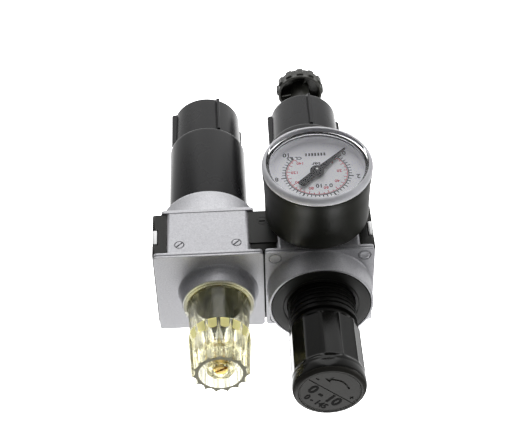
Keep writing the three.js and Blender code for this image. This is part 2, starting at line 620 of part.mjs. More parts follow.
function slottedPlug(side) {
  const slot = box(-0.4, 0.4, -PANEL_Y - 1, -PANEL_Y + 1, -3, 3);
  slot.rotateY(THREE.MathUtils.degToRad(46));
  slot.translate(side * PLUG_SPACING, 0, PLUG_Z);
  return cut(solid(barY(PLUG_RADIUS, -PANEL_Y, -PANEL_Y + PLUG_LENGTH, side * PLUG_SPACING, PLUG_Z, COARSE)), slot);
}

place(lubricator, 'passage_plug_left', CASTING, slottedPlug(-1));
place(lubricator, 'passage_plug_right', CASTING, slottedPlug(1));
place(lubricator, 'flow_flap', RUBBER, cut(
  solid(barX(PORT_RADIUS - GAP, 5, 5.8, 0, 0)), box(4, 7, -7, 7, 2.4, 7)));

// ---- sight dome ---------------------------------------------------------------------------
const CUP_FLOOR = DOME_TOP - 8;
const CUP_RADIUS = 10.1;
const DOME_BOSS_RADIUS = 6.1;
const SCREW_RADIUS = 3.4;

function sightDome() {
  const smooth = turned([
    [0, DOME_SEAT + 1.9], [DOME_BORE - GAP, DOME_SEAT + 1.9], [DOME_BORE - GAP, DOME_COLLAR_TOP + GAP],
    [16, DOME_COLLAR_TOP + GAP], [16, DOME_COLLAR_TOP + 1.6], [14.9, DOME_COLLAR_TOP + 3.2],
    [14.1, DOME_RIDGE_START], [12.4, DOME_RIDGE_START + 1], [0, DOME_RIDGE_START + 1],
  ], FINE);
  const ridges = prism(lobedOutline(13.9, 1.9, DOME_RIDGES, 4, 0.7), DOME_RIDGE_START, DOME_TOP);
  const inside = turned([
    [0, DOME_SEAT], [11.4, DOME_SEAT], [11.2, CUP_FLOOR - 6], [9, CUP_FLOOR - 2.4], [0, CUP_FLOOR - 2.4],
  ]);
  const cup = tube(DOME_BOSS_RADIUS, CUP_RADIUS, CUP_FLOOR, DOME_TOP + 1);
  const aboveBoss = disc(CUP_RADIUS - 1, DOME_TOP - 1.6, DOME_TOP + 1);
  return cut(joined(smooth, ridges), inside, cup, aboveBoss,
    disc(SCREW_RADIUS + GAP, CUP_FLOOR, DOME_TOP), disc(1.9, CUP_FLOOR - 4, CUP_FLOOR + 1, COARSE));
}

place(dome, 'sight_dome', AMBER_CLEAR, sightDome());
place(dome, 'dome_seal', RUBBER, oRing(12.6, 0.7, DOME_SEAT + 1));

place(dome, 'drip_insert', DARK_PLASTIC, turned([
  [1.2, DOME_SEAT + 0.2], [9, DOME_SEAT + 0.2], [9, DOME_SEAT + 6], [5.6, DOME_SEAT + 8],
  [5.6, TOP + 24], [4.4, TOP + 27], [1.2, TOP + 27], [1.2, DOME_SEAT + 0.2],
], COARSE));

place(dome, 'drip_screw', BRASS, (() => {
  const body = turned([
    [0, TOP + 28], [0.8, TOP + 29], [1.5, TOP + 31], [1.5, CUP_FLOOR + GAP], [SCREW_RADIUS, CUP_FLOOR + GAP],
    [SCREW_RADIUS, DOME_TOP - 2.6], [SCREW_RADIUS - 0.5, DOME_TOP - 2.1], [0, DOME_TOP - 2.1],
  ], COARSE);
  return cut(solid(body), box(-0.5, 0.5, -5, 5, DOME_TOP - 3.6, DOME_TOP));
})());

// ---- oil side -----------------------------------------------------------------------------
place(lubricator, 'oil_bowl', BOWL_COAT, oilBowl());
place(lubricator, 'oil_bowl_seal', RUBBER, oRing(16.4, 0.9, BOWL_SHOULDER - 1.2));
place(lubricator, 'siphon_tube', WINDOW, tube(1, 1.7, BOWL_FLOOR + 6, TOP - 2, COARSE).translate(DOME_OFFSET, -9.4, 0));
place(lubricator, 'siphon_strainer', BRASS, turned([
  [2, BOWL_FLOOR + 1], [3.2, BOWL_FLOOR + 1], [3.2, BOWL_FLOOR + 9], [2, BOWL_FLOOR + 9], [2, BOWL_FLOOR + 1],
], COARSE).translate(DOME_OFFSET, -9.4, 0));

// ---- coupling and end pieces --------------------------------------------------------------
const SIDE_TOP = TOP - PLATE_THICKNESS - GAP;
const SIDE_BOTTOM = BLOCK_BOTTOM + FLANGE_THICKNESS + GAP;
const COUPLING_X = REGULATOR_X + MODULE_PITCH / 2;
const COUPLING_HALF = MODULE_PITCH / 2 - BLOCK_HALF_WIDTH - GAP;
const CLAMP_Z = TOP - 22;

function couplingBlock() {
  const chamfer = BLOCK_HALF_WIDTH - PANEL_HALF_WIDTH;
  const [w, y, c] = [COUPLING_HALF, PANEL_Y - 0.4, chamfer - 0.4];
  const outline = [
    [-w - c, -y], [w + c, -y], [w, -y + c], [w, y - c], [w + c, y], [-w - c, y], [-w, y - c], [-w, -y + c],
  ];
  return cut(solid(prism(outline, SIDE_BOTTOM, SIDE_TOP)),
    barX(PORT_BOSS_RADIUS + GAP, -10, 10, 0, 0),
    barY(2.3 + GAP, -PANEL_Y - 1, -PANEL_Y + 8.3, 0, CLAMP_Z, COARSE)).translate([COUPLING_X, 0, 0]);
}

place(unit, 'coupling_block', BLACK_PLASTIC, couplingBlock());
place(unit, 'coupling_seal', RUBBER, (() => {
  const ring = oRing(7.4, 0.7, 0);
  ring.rotateY(Math.PI / 2);
  return ring.translate(COUPLING_X, 0, 0);
})());
place(unit, 'clamp_screw', DARK_PLASTIC, cut(
  solid(barY(2.3, -PANEL_Y + 0.4, -PANEL_Y + 8, COUPLING_X, CLAMP_Z, COARSE)),
  box(COUPLING_X - 3, COUPLING_X + 3, -PANEL_Y - 1, -PANEL_Y + 1.4, CLAMP_Z - 0.45, CLAMP_Z + 0.45)));

const LUG_TOP = TOP - 9.7;
const LUG_BOTTOM = TOP - 18.8;
const LUG_DEPTH = 5.7;
const END_THICKNESS = MODULE_WIDTH / 2 - BLOCK_HALF_WIDTH - 2 * GAP;

// Black cover of a module's outer side, in its own half of the coupling block's outline, with a lug notch.
// side is -1 for the inlet side and 1 for the outlet side.
function endPlate(side, moduleX) {
  const inner = BLOCK_HALF_WIDTH + GAP;
  const outer = inner + END_THICKNESS;
  const c = BLOCK_HALF_WIDTH - PANEL_HALF_WIDTH - 0.4;
  const y = PANEL_Y - 0.4;
  const outline = [[inner - c, -y], [outer, -y], [outer, y], [inner - c, y], [inner, y - c], [inner, -y + c]];
  const points = side > 0 ? outline : outline.map(([px, py]) => [-px, py]).reverse();
  const [x0, x1] = [side * inner, side * (outer + 1)].sort((a, b) => a - b);
  return cut(solid(prism(points, SIDE_BOTTOM, SIDE_TOP)),
    barX(PORT_BOSS_RADIUS + GAP, -outer - 1, outer + 1, 0, 0),
    box(x0, x1, -PANEL_Y, LUG_DEPTH - PANEL_Y + GAP, LUG_BOTTOM - GAP, LUG_TOP + GAP)).translate([moduleX, 0, 0]);
}

// Plated lug in the cover's notch; x is its left face.
function lug(x) {
  return box(x, x + END_THICKNESS, -PANEL_Y + GAP, -PANEL_Y + LUG_DEPTH, LUG_BOTTOM, LUG_TOP);
}

const LEFT_END = GAP;
const RIGHT_END = OUTLET_X - GAP - END_THICKNESS;
place(unit, 'inlet_end_plate', BLACK_PLASTIC, endPlate(-1, REGULATOR_X));
place(unit, 'inlet_lug', STEEL, lug(LEFT_END));
place(unit, 'outlet_end_plate', BLACK_PLASTIC, endPlate(1, LUBRICATOR_X));
place(unit, 'outlet_lug', STEEL, lug(RIGHT_END));

export default unit;
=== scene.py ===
"""Looks of a compressed-air filter-regulator and lubricator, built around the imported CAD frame.

Lengths are in millimetres until a mesh is made; Blender's own units are metres.
"""
import json
import math

import bmesh
import bpy
from mathutils import Matrix, Quaternion, Vector


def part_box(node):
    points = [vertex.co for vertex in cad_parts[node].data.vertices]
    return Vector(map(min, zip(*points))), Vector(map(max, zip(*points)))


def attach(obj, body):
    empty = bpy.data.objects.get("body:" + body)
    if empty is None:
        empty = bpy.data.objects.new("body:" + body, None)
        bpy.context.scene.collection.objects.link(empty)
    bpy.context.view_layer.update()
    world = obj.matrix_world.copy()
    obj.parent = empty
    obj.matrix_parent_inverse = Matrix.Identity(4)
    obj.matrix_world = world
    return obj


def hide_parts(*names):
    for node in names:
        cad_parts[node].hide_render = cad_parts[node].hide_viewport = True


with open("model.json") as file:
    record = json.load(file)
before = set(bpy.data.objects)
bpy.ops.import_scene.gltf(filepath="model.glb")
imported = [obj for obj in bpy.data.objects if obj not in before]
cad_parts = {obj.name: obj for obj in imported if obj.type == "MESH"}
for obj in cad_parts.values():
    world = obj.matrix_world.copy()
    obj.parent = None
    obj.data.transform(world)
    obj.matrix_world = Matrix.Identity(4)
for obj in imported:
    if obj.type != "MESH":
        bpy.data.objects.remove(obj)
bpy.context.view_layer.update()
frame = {"nodes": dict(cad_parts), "record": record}

MM = 0.001
TAU = 2 * math.pi
SCENE = bpy.context.scene


# ---- places and sizes, from the frame ------------------------------------------------------
def low(node):
    return Vector(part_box(node)[0]) / MM


def high(node):
    return Vector(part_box(node)[1]) / MM


def centre(node):
    return (low(node) + high(node)) / 2


def width(node):
    return high(node).x - low(node).x


GAP = 0.3  # between a block and its covers
REG_X = centre("adjusting_knob").x
LUB_X = centre("oil_bowl").x
DOME_X = centre("sight_dome").x
GAUGE_Z = centre("gauge_case").z
TOP = high("plate_pin_1").z
PIN_REACH = high("plate_pin_4").x - REG_X - width("plate_pin_4") / 2
PLATE_HALF_X = REG_X - low("regulator_body").x
PLATE_HALF_Y = high("regulator_body").y
PANEL_Y = -low("passage_plug_left").y
BLOCK_BOTTOM = low("inlet_end_plate").z - 2.3
COLLAR_END = low("regulator_body").z
RING_TOP = high("lock_ring").z
RING_RADIUS = width("lock_ring") / 2
DOME_COLLAR_TOP = high("lubricator_body").z
BOWL_END = low("oil_bowl").z
BOWL_NECK_TOP = high("oil_bowl").z
BOWL_RADIUS = width("oil_bowl") / 2
KNOB_LOW = low("adjusting_knob").z
KNOB_HIGH = high("adjusting_knob").z
KNOB_RADIUS = width("adjusting_knob") / 2
GAUGE_BACK = -high("gauge_case").y
GAUGE_FRONT = -low("gauge_window").y
GAUGE_RADIUS = width("gauge_window") / 2
DIAL_FACE = -low("gauge_dial").y
DIAL_RADIUS = width("gauge_dial") / 2
DOME_TOP = high("sight_dome").z
DRAIN_LOW = low("drain_knob").z
DRAIN_RADIUS = width("drain_knob") / 2

UNMOVED = Matrix.Identity(4)


def at(x, y=0.0, z=0.0):
    return Matrix.Translation((x, y, z))


# A gauge drawn with its face towards +Z is turned to face -Y.
GAUGE = at(REG_X, 0, GAUGE_Z) @ Matrix.Rotation(math.pi / 2, 4, "X")
PORT_LEFT = Matrix.Rotation(-math.pi / 2, 4, "Y")
PORT_RIGHT = Matrix.Rotation(math.pi / 2, 4, "Y")


# ---- outlines and profiles -----------------------------------------------------------------
def rounded(points, closed=False, steps=4):
    """Points in a plane; a third number on a point rounds that corner by about that radius."""
    result = []
    count = len(points)
    for i, point in enumerate(points):
        if len(point) < 3 or (not closed and i in (0, count - 1)):
            result.append(tuple(point[:2]))
            continue
        here = Vector(point[:2])
        back = Vector(points[i - 1][:2]) - here
        on = Vector(points[(i + 1) % count][:2]) - here
        reach = min(point[2], back.length * 0.49, on.length * 0.49)
        start = here + back.normalized() * reach
        end = here + on.normalized() * reach
        for k in range(steps + 1):
            t = k / steps
            spot = start * (1 - t) ** 2 + here * 2 * t * (1 - t) + end * t ** 2
            result.append((spot.x, spot.y))
    return result


def smooth_step(edge0, edge1, value):
    t = min(max((value - edge0) / (edge1 - edge0), 0), 1)
    return t * t * (3 - 2 * t)


def evenly(start, end, step):
    count = max(1, round(abs(end - start) / step))
    return [start + (end - start) * i / count for i in range(count + 1)]


# ---- mesh making ---------------------------------------------------------------------------
BROAD_FLAT = 60 * MM ** 2


def broad_faces(work):
    """Indices of the faces that lie in a large flat region."""
    broad, seen = set(), set()
    for start in work.faces:
        if start.index in seen:
            continue
        seen.add(start.index)
        region, queue = [], [start]
        while queue:
            face = queue.pop()
            region.append(face)
            for edge in face.edges:
                if edge.calc_face_angle(9) > 0.005:
                    continue
                for other in edge.link_faces:
                    if other.index not in seen:
                        seen.add(other.index)
                        queue.append(other)
        if sum(face.calc_area() for face in region) > BROAD_FLAT:
            broad.update(face.index for face in region)
    return broad


def finish_mesh(mesh, crease):
    """Welds, turns faces outwards, and shades smooth except at sharp edges and round large flat faces."""
    work = bmesh.new()
    work.from_mesh(mesh)
    bmesh.ops.remove_doubles(work, verts=work.verts, dist=1e-7)
    bmesh.ops.dissolve_degenerate(work, edges=work.edges, dist=1e-7)
    bmesh.ops.recalc_face_normals(work, faces=work.faces)
    for face in work.faces:
        face.smooth = True
    work.faces.index_update()
    broad = broad_faces(work)
    for edge in work.edges:
        limit = min(crease, 6) if any(face.index in broad for face in edge.link_faces) else crease
        edge.smooth = math.degrees(edge.calc_face_angle(0)) < limit
    work.to_mesh(mesh)
    work.free()


def make(name, shape, matrix=UNMOVED, crease=32):
    """New object from (verts, faces) in millimetres."""
    verts, faces = shape
    mesh = bpy.data.meshes.new(name)
    mesh.from_pydata([(matrix @ Vector(v)) * MM for v in verts], [], faces)
    finish_mesh(mesh, crease)
    obj = bpy.data.objects.new(name, mesh)
    SCENE.collection.objects.link(obj)
    return obj


def lathe(profile, steps=96, swing=None):
    """A turned solid. A profile that starts on the axis ends there, and any other closes on itself."""
    verts, rings, faces = [], [], []
    for r, z in profile:
        if r < 1e-6:
            rings.append([len(verts)])
            verts.append((0, 0, z))
            continue
        ring = []
        for i in range(steps):
            angle = TAU * i / steps
            reach = swing(r, z, angle) if swing else r
            ring.append(len(verts))
            verts.append((reach * math.cos(angle), reach * math.sin(angle), z))
        rings.append(ring)
    pairs = list(zip(rings, rings[1:]))
    if profile[0][0] > 1e-6:
        pairs.append((rings[-1], rings[0]))
    for under, over in pairs:
        for i in range(steps):
            j = (i + 1) % steps
            corners = [under[i % len(under)], under[j % len(under)], over[j % len(over)], over[i % len(over)]]
            face = list(dict.fromkeys(corners))
            if len(face) > 2:
                faces.append(face)
    return verts, faces


def prism(outline, z0, z1):
    count = len(outline)
    verts = [(x, y, z0) for x, y in outline] + [(x, y, z1) for x, y in outline]
    faces = [list(range(count))[::-1], list(range(count, 2 * count))]
    for i in range(count):
        j = (i + 1) % count
        faces.append([i, j, count + j, count + i])
    return verts, faces


def rectangle(half_x, half_y, corner):
    return rounded([(-half_x, -half_y, corner), (half_x, -half_y, corner), (half_x, half_y, corner),
                    (-half_x, half_y, corner)], closed=True)


def block(x0, x1, y0, y1, z0, z1):
    return prism([(x0, y0), (x1, y0), (x1, y1), (x0, y1)], z0, z1)


def disc(radius, z0, z1, steps=64):
    return lathe([(0, z0), (radius, z0), (radius, z1), (0, z1)], steps)


def bake(obj, crease=32):
    """Applies the object's modifiers to its mesh."""
    bpy.context.view_layer.update()
    graph = bpy.context.evaluated_depsgraph_get()
    mesh = bpy.data.meshes.new_from_object(obj.evaluated_get(graph))
    obj.modifiers.clear()
    obj.data = mesh
    finish_mesh(mesh, crease)
    return obj


def combine(obj, operation, tools):
    """Boolean of obj with tool objects, which are used up."""
    for tool in tools:
        step = obj.modifiers.new(operation, "BOOLEAN")
        step.operation = operation
        step.solver = "EXACT"
        step.object = tool
        bake(obj)
        bpy.data.objects.remove(tool)


SHARP_ANGLE = 38  # degrees; softening leaves blunter edges alone


def soften(obj, radius, segments=2):
    step = obj.modifiers.new("soften", "BEVEL")
    step.width = radius * MM
    step.segments = segments
    step.limit_method = "ANGLE"
    step.angle_limit = math.radians(SHARP_ANGLE)
    return bake(obj, crease=24)


def dress(obj, material, body="housing", stands_for=()):
    obj.data.materials.clear()
    obj.data.materials.append(material)
    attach(obj, body)
    if stands_for:
        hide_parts(*stands_for)
    return obj


def paint_faces(obj, material, chosen):
    """Gives one more material to the faces whose centre (in millimetres) and normal are chosen."""
    obj.data.materials.append(material)
    index = len(obj.data.materials) - 1
    for face in obj.data.polygons:
        if chosen(face.center / MM, face.normal):
            face.material_index = index


# ---- materials -----------------------------------------------------------------------------
class Shader:
    """A material's node tree with short calls for adding nodes."""

    def __init__(self, name):
        self.material = bpy.data.materials.new(name)
        self.material.use_nodes = True
        self.tree = self.material.node_tree
        self.tree.nodes.clear()
        self.place = self.add("ShaderNodeTexCoord").outputs["Object"]

    def add(self, kind, **inputs):
        node = self.tree.nodes.new(kind)
        for key, value in inputs.items():
            socket = node.inputs[key.replace("_", " ")]
            if isinstance(value, bpy.types.NodeSocket):
                self.tree.links.new(value, socket)
            else:
                socket.default_value = value
        return node

    def noise(self, scale, detail=3.0, roughness=0.55):
        node = self.add("ShaderNodeTexNoise", Scale=scale, Detail=detail, Roughness=roughness,
                        Vector=self.place)
        return node.outputs["Fac"]

    def ramp(self, factor, stops):
        node = self.add("ShaderNodeValToRGB", Fac=factor)
        elements = node.color_ramp.elements
        while len(elements) < len(stops):
            elements.new(0.5)
        for element, (position, color) in zip(elements, stops):
            element.position = position
            element.color = (*color, 1)
        return node.outputs["Color"]

    def between(self, factor, start, end, from_min=0.3, from_max=0.7):
        node = self.add("ShaderNodeMapRange", Value=factor)
        node.inputs["From Min"].default_value = from_min
        node.inputs["From Max"].default_value = from_max
        node.inputs["To Min"].default_value = start
        node.inputs["To Max"].default_value = end
        return node.outputs["Result"]

    def mix(self, factor, first, second):
        """Blend of two colours; a mix node's colour sockets are reached by number."""
        node = self.tree.nodes.new("ShaderNodeMix")
        node.data_type = "RGBA"
        for index, value in ((0, factor), (6, first), (7, second)):
            if isinstance(value, bpy.types.NodeSocket):
                self.tree.links.new(value, node.inputs[index])
            else:
                node.inputs[index].default_value = value
        return node.outputs[2]

    def bump(self, height, strength, depth_mm):
        node = self.add("ShaderNodeBump", Height=height, Strength=strength, Distance=depth_mm * MM)
        return node.outputs["Normal"]

    def edges(self, start=0.52, end=0.62):
        """1 on convex edges, which are made paler for wear and a painted highlight, 0 on flats."""
        return self.between(self.add("ShaderNodeNewGeometry").outputs["Pointiness"], 0, 1, start, end)

    def surface(self, **inputs):
        node = self.add("ShaderNodeBsdfPrincipled", **inputs)
        self.output(node.outputs["BSDF"])
        return node

    def output(self, surface, volume=None):
        node = self.tree.nodes.new("ShaderNodeOutputMaterial")
        self.tree.links.new(surface, node.inputs["Surface"])
        if volume:
            self.tree.links.new(volume, node.inputs["Volume"])


def shade(color, factor):
    return tuple(channel * factor for channel in color)


def coated(name, color, rough, metal=0.0, grain=2500, mottle=0.1, depth=0.02, wear_and_highlight=0.15, shine=0.5):
    """Painted, moulded or plated surface: grain, cloudiness, uneven gloss and slightly paler edges, part wear
    and part a painted highlight.
    """
    s = Shader(name)
    fine = s.noise(grain, 2.0)
    cloud = s.noise(grain / 60, 3.0)
    body = s.ramp(fine, [(0.3, shade(color, 1 - mottle)), (0.7, shade(color, 1 + mottle))])
    clouded = s.mix(s.between(cloud, 0, 0.4, 0.15, 0.85), body, (*shade(color, 0.85), 1))
    # Paler convex edges: part wear, part a painted highlight.
    worn_and_highlit = s.mix(s.edges(), clouded, (*[min(1, c * (1 + wear_and_highlight) + wear_and_highlight * 0.05) for c in color], 1))
    s.surface(Base_Color=worn_and_highlit, Roughness=s.between(cloud, rough - 0.03, rough + 0.03, 0.15, 0.85),
              Metallic=metal, Specular_IOR_Level=shine, Normal=s.bump(fine, 0.6, depth))
    return s.material


def casting_paint():
    """Silver-grey powder coat with a fine sparkle and a slight orange peel."""
    s = Shader("casting_paint")
    sparkle = s.noise(5200, 1.0)
    grain = s.noise(1500, 4.0, 0.7)
    peel = s.noise(420, 2.0)
    color = s.ramp(grain, [(0.28, (0.43, 0.43, 0.455)), (0.5, (0.53, 0.53, 0.555)),
                           (0.74, (0.63, 0.63, 0.655))])
    glint = s.mix(s.between(sparkle, 0, 0.5, 0.6, 0.72), color, (0.8, 0.8, 0.82, 1))
    # Paler convex edges: part wear, part a painted highlight.
    worn_and_highlit = s.mix(s.between(s.edges(0.53, 0.63), 0, 0.5, 0, 1), glint, (0.72, 0.72, 0.73, 1))
    s.surface(Base_Color=worn_and_highlit, Metallic=0.35, Roughness=s.between(peel, 0.4, 0.52),
              Normal=s.bump(grain, 0.5, 0.03))
    return s.material


def turned_metal(name, color, rough):
    """Machined metal with fine tool rings and soft tarnish."""
    s = Shader(name)
    rings = s.add("ShaderNodeTexWave", Scale=900.0, Distortion=1.5, Detail=2.0, Vector=s.place)
    tarnish = s.noise(160, 4.0)
    base = s.ramp(tarnish, [(0.35, shade(color, 0.78)), (0.7, color)])
    s.surface(Base_Color=base, Metallic=1.0, Roughness=s.between(tarnish, rough, rough + 0.15),
              Normal=s.bump(rings.outputs["Fac"], 0.25, 0.01))
    return s.material


def clear_plastic(name, tint, density, ior, shadow=0.75, veil=0.0):
    """Clear moulding, tinted through its thickness; veil is the share of light that goes straight through."""
    s = Shader(name)
    flow = s.noise(90, 2.0)
    glass = s.add("ShaderNodeBsdfPrincipled", Base_Color=(1, 1, 1, 1), Transmission_Weight=1.0, IOR=ior,
                  Roughness=s.between(flow, 0.02, 0.05), Normal=s.bump(flow, 0.05, 0.03))
    clear = s.add("ShaderNodeBsdfTransparent", Color=(*[1 - (1 - c) * (1 - shadow) for c in tint], 1))
    path = s.add("ShaderNodeLightPath")
    both = s.add("ShaderNodeMixShader", Fac=s.between(path.outputs["Is Shadow Ray"], veil, 1, 0, 1))
    s.tree.links.new(glass.outputs["BSDF"], both.inputs[1])
    s.tree.links.new(clear.outputs["BSDF"], both.inputs[2])
    haze = s.add("ShaderNodeVolumeAbsorption", Color=(*tint, 1), Density=density)
    s.output(both.outputs["Shader"], haze.outputs["Volume"])
    return s.material


def tinted_edge(name, color, painted_glow=0.0):
    """Pale satin face on a clear moulding: a painted highlight for the bright look that light gives such an
    edge, with optional emission as a painted glow.
    """
    s = Shader(name)
    fine = s.noise(1200, 2.0)
    s.surface(Base_Color=s.ramp(fine, [(0.3, shade(color, 0.94)), (0.7, color)]), Transmission_Weight=0.2,
              IOR=1.3, Roughness=s.between(fine, 0.3, 0.4), Normal=s.bump(fine, 0.3, 0.005),
              Emission_Color=(*color, 1), Emission_Strength=painted_glow)
    return s.material


def printed(name, color):
    s = Shader(name)
    fine = s.noise(4000, 1.0)
    s.surface(Base_Color=s.ramp(fine, [(0.3, shade(color, 0.9)), (0.7, color)]), Roughness=0.5)
    return s.material


CASTING = casting_paint()
BLACK = coated("black_plastic", (0.006, 0.006, 0.005), 0.16, grain=1800, depth=0.004, mottle=0.25, shine=0.22)
SATIN_BLACK = coated("satin_black_plastic", (0.014, 0.014, 0.012), 0.42, grain=2200, mottle=0.15, shine=0.2)
THREAD_BLACK = coated("thread_black_plastic", (0.004, 0.004, 0.003), 0.36, grain=2200, depth=0.01, shine=0.15)
DISC_GREY = coated("knob_disc_plastic", (0.034, 0.032, 0.027), 0.5, grain=2200, mottle=0.15, shine=0.22)
BOWL = coated("bowl_coat", (0.011, 0.011, 0.012), 0.28, metal=0.1, mottle=0.15, depth=0.01, wear_and_highlight=0.4,
              shine=0.16)
CASE = coated("gauge_case_plastic", (0.021, 0.022, 0.017), 0.42, grain=1600, depth=0.005, mottle=0.12,
              shine=0.27)
DRAIN = coated("drain_plastic", (0.05, 0.05, 0.042), 0.4, grain=1500, mottle=0.2, wear_and_highlight=0.3, shine=0.3)
GREY = coated("grey_plastic", (0.10, 0.105, 0.095), 0.4, grain=1500, depth=0.01, shine=0.3)
RUBBER = coated("rubber", (0.014, 0.014, 0.014), 0.7, grain=3000, depth=0.02)
FILTER = coated("sintered_filter", (0.8, 0.79, 0.74), 0.85, grain=1600, mottle=0.2, depth=0.12)
STEEL = turned_metal("zinc_plated_steel", (0.5, 0.5, 0.5), 0.32)
BRASS = turned_metal("turned_brass", (0.86, 0.62, 0.2), 0.18)
DIAL = coated("dial_enamel", (0.95, 0.95, 1.0), 0.45, grain=900, mottle=0.015, depth=0.004, wear_and_highlight=0.02)
INK = printed("black_ink", (0.012, 0.012, 0.018))
KNOB_INK = coated("knob_marks", (0.008, 0.008, 0.007), 0.6, mottle=0.1, shine=0.03)
POINTER_PAINT = coated("pointer_paint", (0.024, 0.024, 0.028), 0.5, grain=1400, mottle=0.1, shine=0.06)
RED_INK = printed("red_ink", (0.62, 0.06, 0.09))
WINDOW = clear_plastic("clear_window", (0.96, 0.96, 0.98), 6, ior=1.2, shadow=1.0)
AMBER = clear_plastic("yellow_tinted_clear", (0.90, 0.86, 0.42), 38, ior=1.42, veil=0.3)
FROSTED = coated("frosted_end", (0.26, 0.245, 0.14), 0.55, grain=1800, depth=0.01)
# Pale rim colour for the gauge window: a painted highlight.
WINDOW_EDGE = tinted_edge("window_edge", (0.84, 0.84, 0.88))
# Bright yellow with emission: a painted highlight and a painted glow on the dome's flute run-outs.
YELLOW_EDGE = tinted_edge("yellow_edge", (1.0, 0.93, 0.4), painted_glow=0.25)

SLOT_LOOKS = {
    "casting": CASTING, "black_plastic": BLACK, "bowl_coat": BOWL, "gauge_black": CASE, "steel": STEEL,
    "brass": BRASS, "rubber": RUBBER, "dial_white": DIAL, "filter_white": FILTER, "dark_plastic": DRAIN,
    "window": WINDOW, "amber_clear": AMBER,
}


def dress_cad_nodes():
    """Every CAD node that stays gets the material of its slot."""
    for row in frame["record"]["subparts"]:
        for holder in frame["nodes"][row["node"]].material_slots:
            holder.material = SLOT_LOOKS[row["material_slot"]]


# ---- die-cast bodies -----------------------------------------------------------------------
BLOCK_HALF = 21.0
PANEL_HALF = 18.1
FLANGE_HALF = 21.6
BOWL_BORE = 17.8
SKIRT_RADIUS = 23.6
PORT_THREAD = 6.7
PORT_CORE = 5.9
PORT_RECESS = 9.3  # the round clearance in the covers and the coupling
DIAPHRAGM_BORE = 21


def block_outline():
    chamfer = BLOCK_HALF - PANEL_HALF
    b, p, y = BLOCK_HALF, PANEL_HALF, PANEL_Y
    return rounded([(-p, -y, 0.5), (p, -y, 0.5), (b, -y + chamfer, 0.5), (b, y - chamfer, 0.5), (p, y, 0.5),
                    (-p, y, 0.5), (-b, y - chamfer, 0.5), (-b, -y + chamfer, 0.5)], closed=True, steps=2)


def plate_layer(inset, corner, z0, z1):
    """One layer of the square top plate, its sides set in."""
    return prism(rectangle(PLATE_HALF_X - inset, PLATE_HALF_Y - inset, corner), z0, z1)


def casting(name, node, x, top_profile, top_x, bosses, holes):
    """One module's body: grooved plate, chamfered block, bottom flange, round skirt and port bosses."""
    here = at(x)
    plate = make(name, plate_layer(0, 1.8, TOP - 1.1, TOP), here)
    waist = make("waist", plate_layer(0.7, 1.4, TOP - 2, TOP - 0.8), here)
    ledge = make("ledge", plate_layer(0.15, 1.6, TOP - 3.1, TOP - 1.75), here)
    body = make("block", prism(block_outline(), BLOCK_BOTTOM + 1, TOP - 2.5), here)
    flange_outline = rectangle(FLANGE_HALF, PANEL_Y + 0.25, 1.6)
    flange = make("flange", prism(flange_outline, BLOCK_BOTTOM, BLOCK_BOTTOM + 1.9), here)
    skirt = make("skirt", lathe(rounded([
        (0, COLLAR_END), (SKIRT_RADIUS - 0.7, COLLAR_END, 0.4), (SKIRT_RADIUS, COLLAR_END + 0.9, 0.6),
        (SKIRT_RADIUS, BLOCK_BOTTOM + 0.6), (0, BLOCK_BOTTOM + 0.6)]), 128), here)
    top = make("top", lathe(top_profile, 128), at(top_x))
    combine(plate, "UNION", [waist, ledge, body, flange, skirt, top, *bosses])
    mouth = round_hole(BOWL_BORE, x, 0, COLLAR_END - 1, BOWL_NECK_TOP + 2.6)
    combine(plate, "DIFFERENCE", [*holes, mouth])
    soften(plate, 0.28)
    dress(plate, CASTING, stands_for=[node])


def boss(x0, x1):
    return make("boss", lathe(rounded([(0, x0), (9, x0, 0.4), (9, x1, 0.4), (0, x1)])), PORT_RIGHT)


def bore(radius, x0, x1):
    return make("bore", disc(radius, x0, x1), PORT_RIGHT)


def round_hole(radius, x, y, z0, z1):
    return make("hole", disc(radius, z0, z1, 48), at(x, y))


def port_thread(name, x_mouth, inward):
    """Threaded sleeve inside a port, its mouth at x_mouth."""
    pitch, depth, length = 1.337, 0.75, 9.0

    def thread(r, z, angle):
        if r > PORT_THREAD - 0.2:
            return r
        phase = (z / pitch - angle / TAU) % 1
        return r + depth * abs(2 * phase - 1) - depth

    inner = [(PORT_THREAD - 0.25, z) for z in evenly(length, 0.6, 0.16)]
    profile = [(PORT_THREAD, 0.1), (PORT_THREAD, length + 0.2), *inner, (PORT_THREAD - 0.05, 0.1)]
    matrix = at(x_mouth) @ (PORT_RIGHT if inward > 0 else PORT_LEFT)
    dress(make(name, lathe(profile, 72, thread), matrix), CASTING)


def regulator_casting():
    collar = rounded([(0, TOP - 2), (24.6, TOP - 2), (24.6, TOP + 0.1, 0.3), (24.3, TOP + 0.8, 0.8),
                      (24.1, RING_TOP - 0.1, 0.3), (RING_RADIUS + 0.2, RING_TOP - 0.1, 0.2),
                      (RING_RADIUS + 0.2, RING_TOP - 3), (0, RING_TOP - 3)])
    inner_end = low("coupling_seal").x - 0.3
    bosses = [boss(0.0, 5), boss(REG_X + BLOCK_HALF - 1, inner_end)]
    holes = [bore(PORT_THREAD, -1, 9.6), bore(PORT_CORE, 8, 14),
             bore(PORT_CORE, inner_end - 9, inner_end + 1)]
    holes += [round_hole(3.0, REG_X + i * PIN_REACH, j * PIN_REACH, TOP - 1.4, TOP + 1) for i in (-1, 1)
              for j in (-1, 1)]
    holes.append(round_hole(DIAPHRAGM_BORE, REG_X, 0, low("diaphragm").z - 0.15, RING_TOP - 2.5))
    casting("regulator_casting", "regulator_body", REG_X, collar, REG_X, bosses, holes)
    port_thread("inlet_thread", 0.0, 1)
    for index in range(1, 5):
        node = f"plate_pin_{index}"
        spot = centre(node)
        r = width(node) / 2
        profile = rounded([(0, TOP - 1.35), (r, TOP - 1.35), (r, TOP + 0.02, 0.3), (r - 0.9, TOP + 0.02),
                           (r - 1.2, TOP - 0.06), (0, TOP - 0.06)])
        pin = make(f"flush_pin_{index}", lathe(profile), at(spot.x, spot.y))
        dress(pin, CASTING, stands_for=[node])


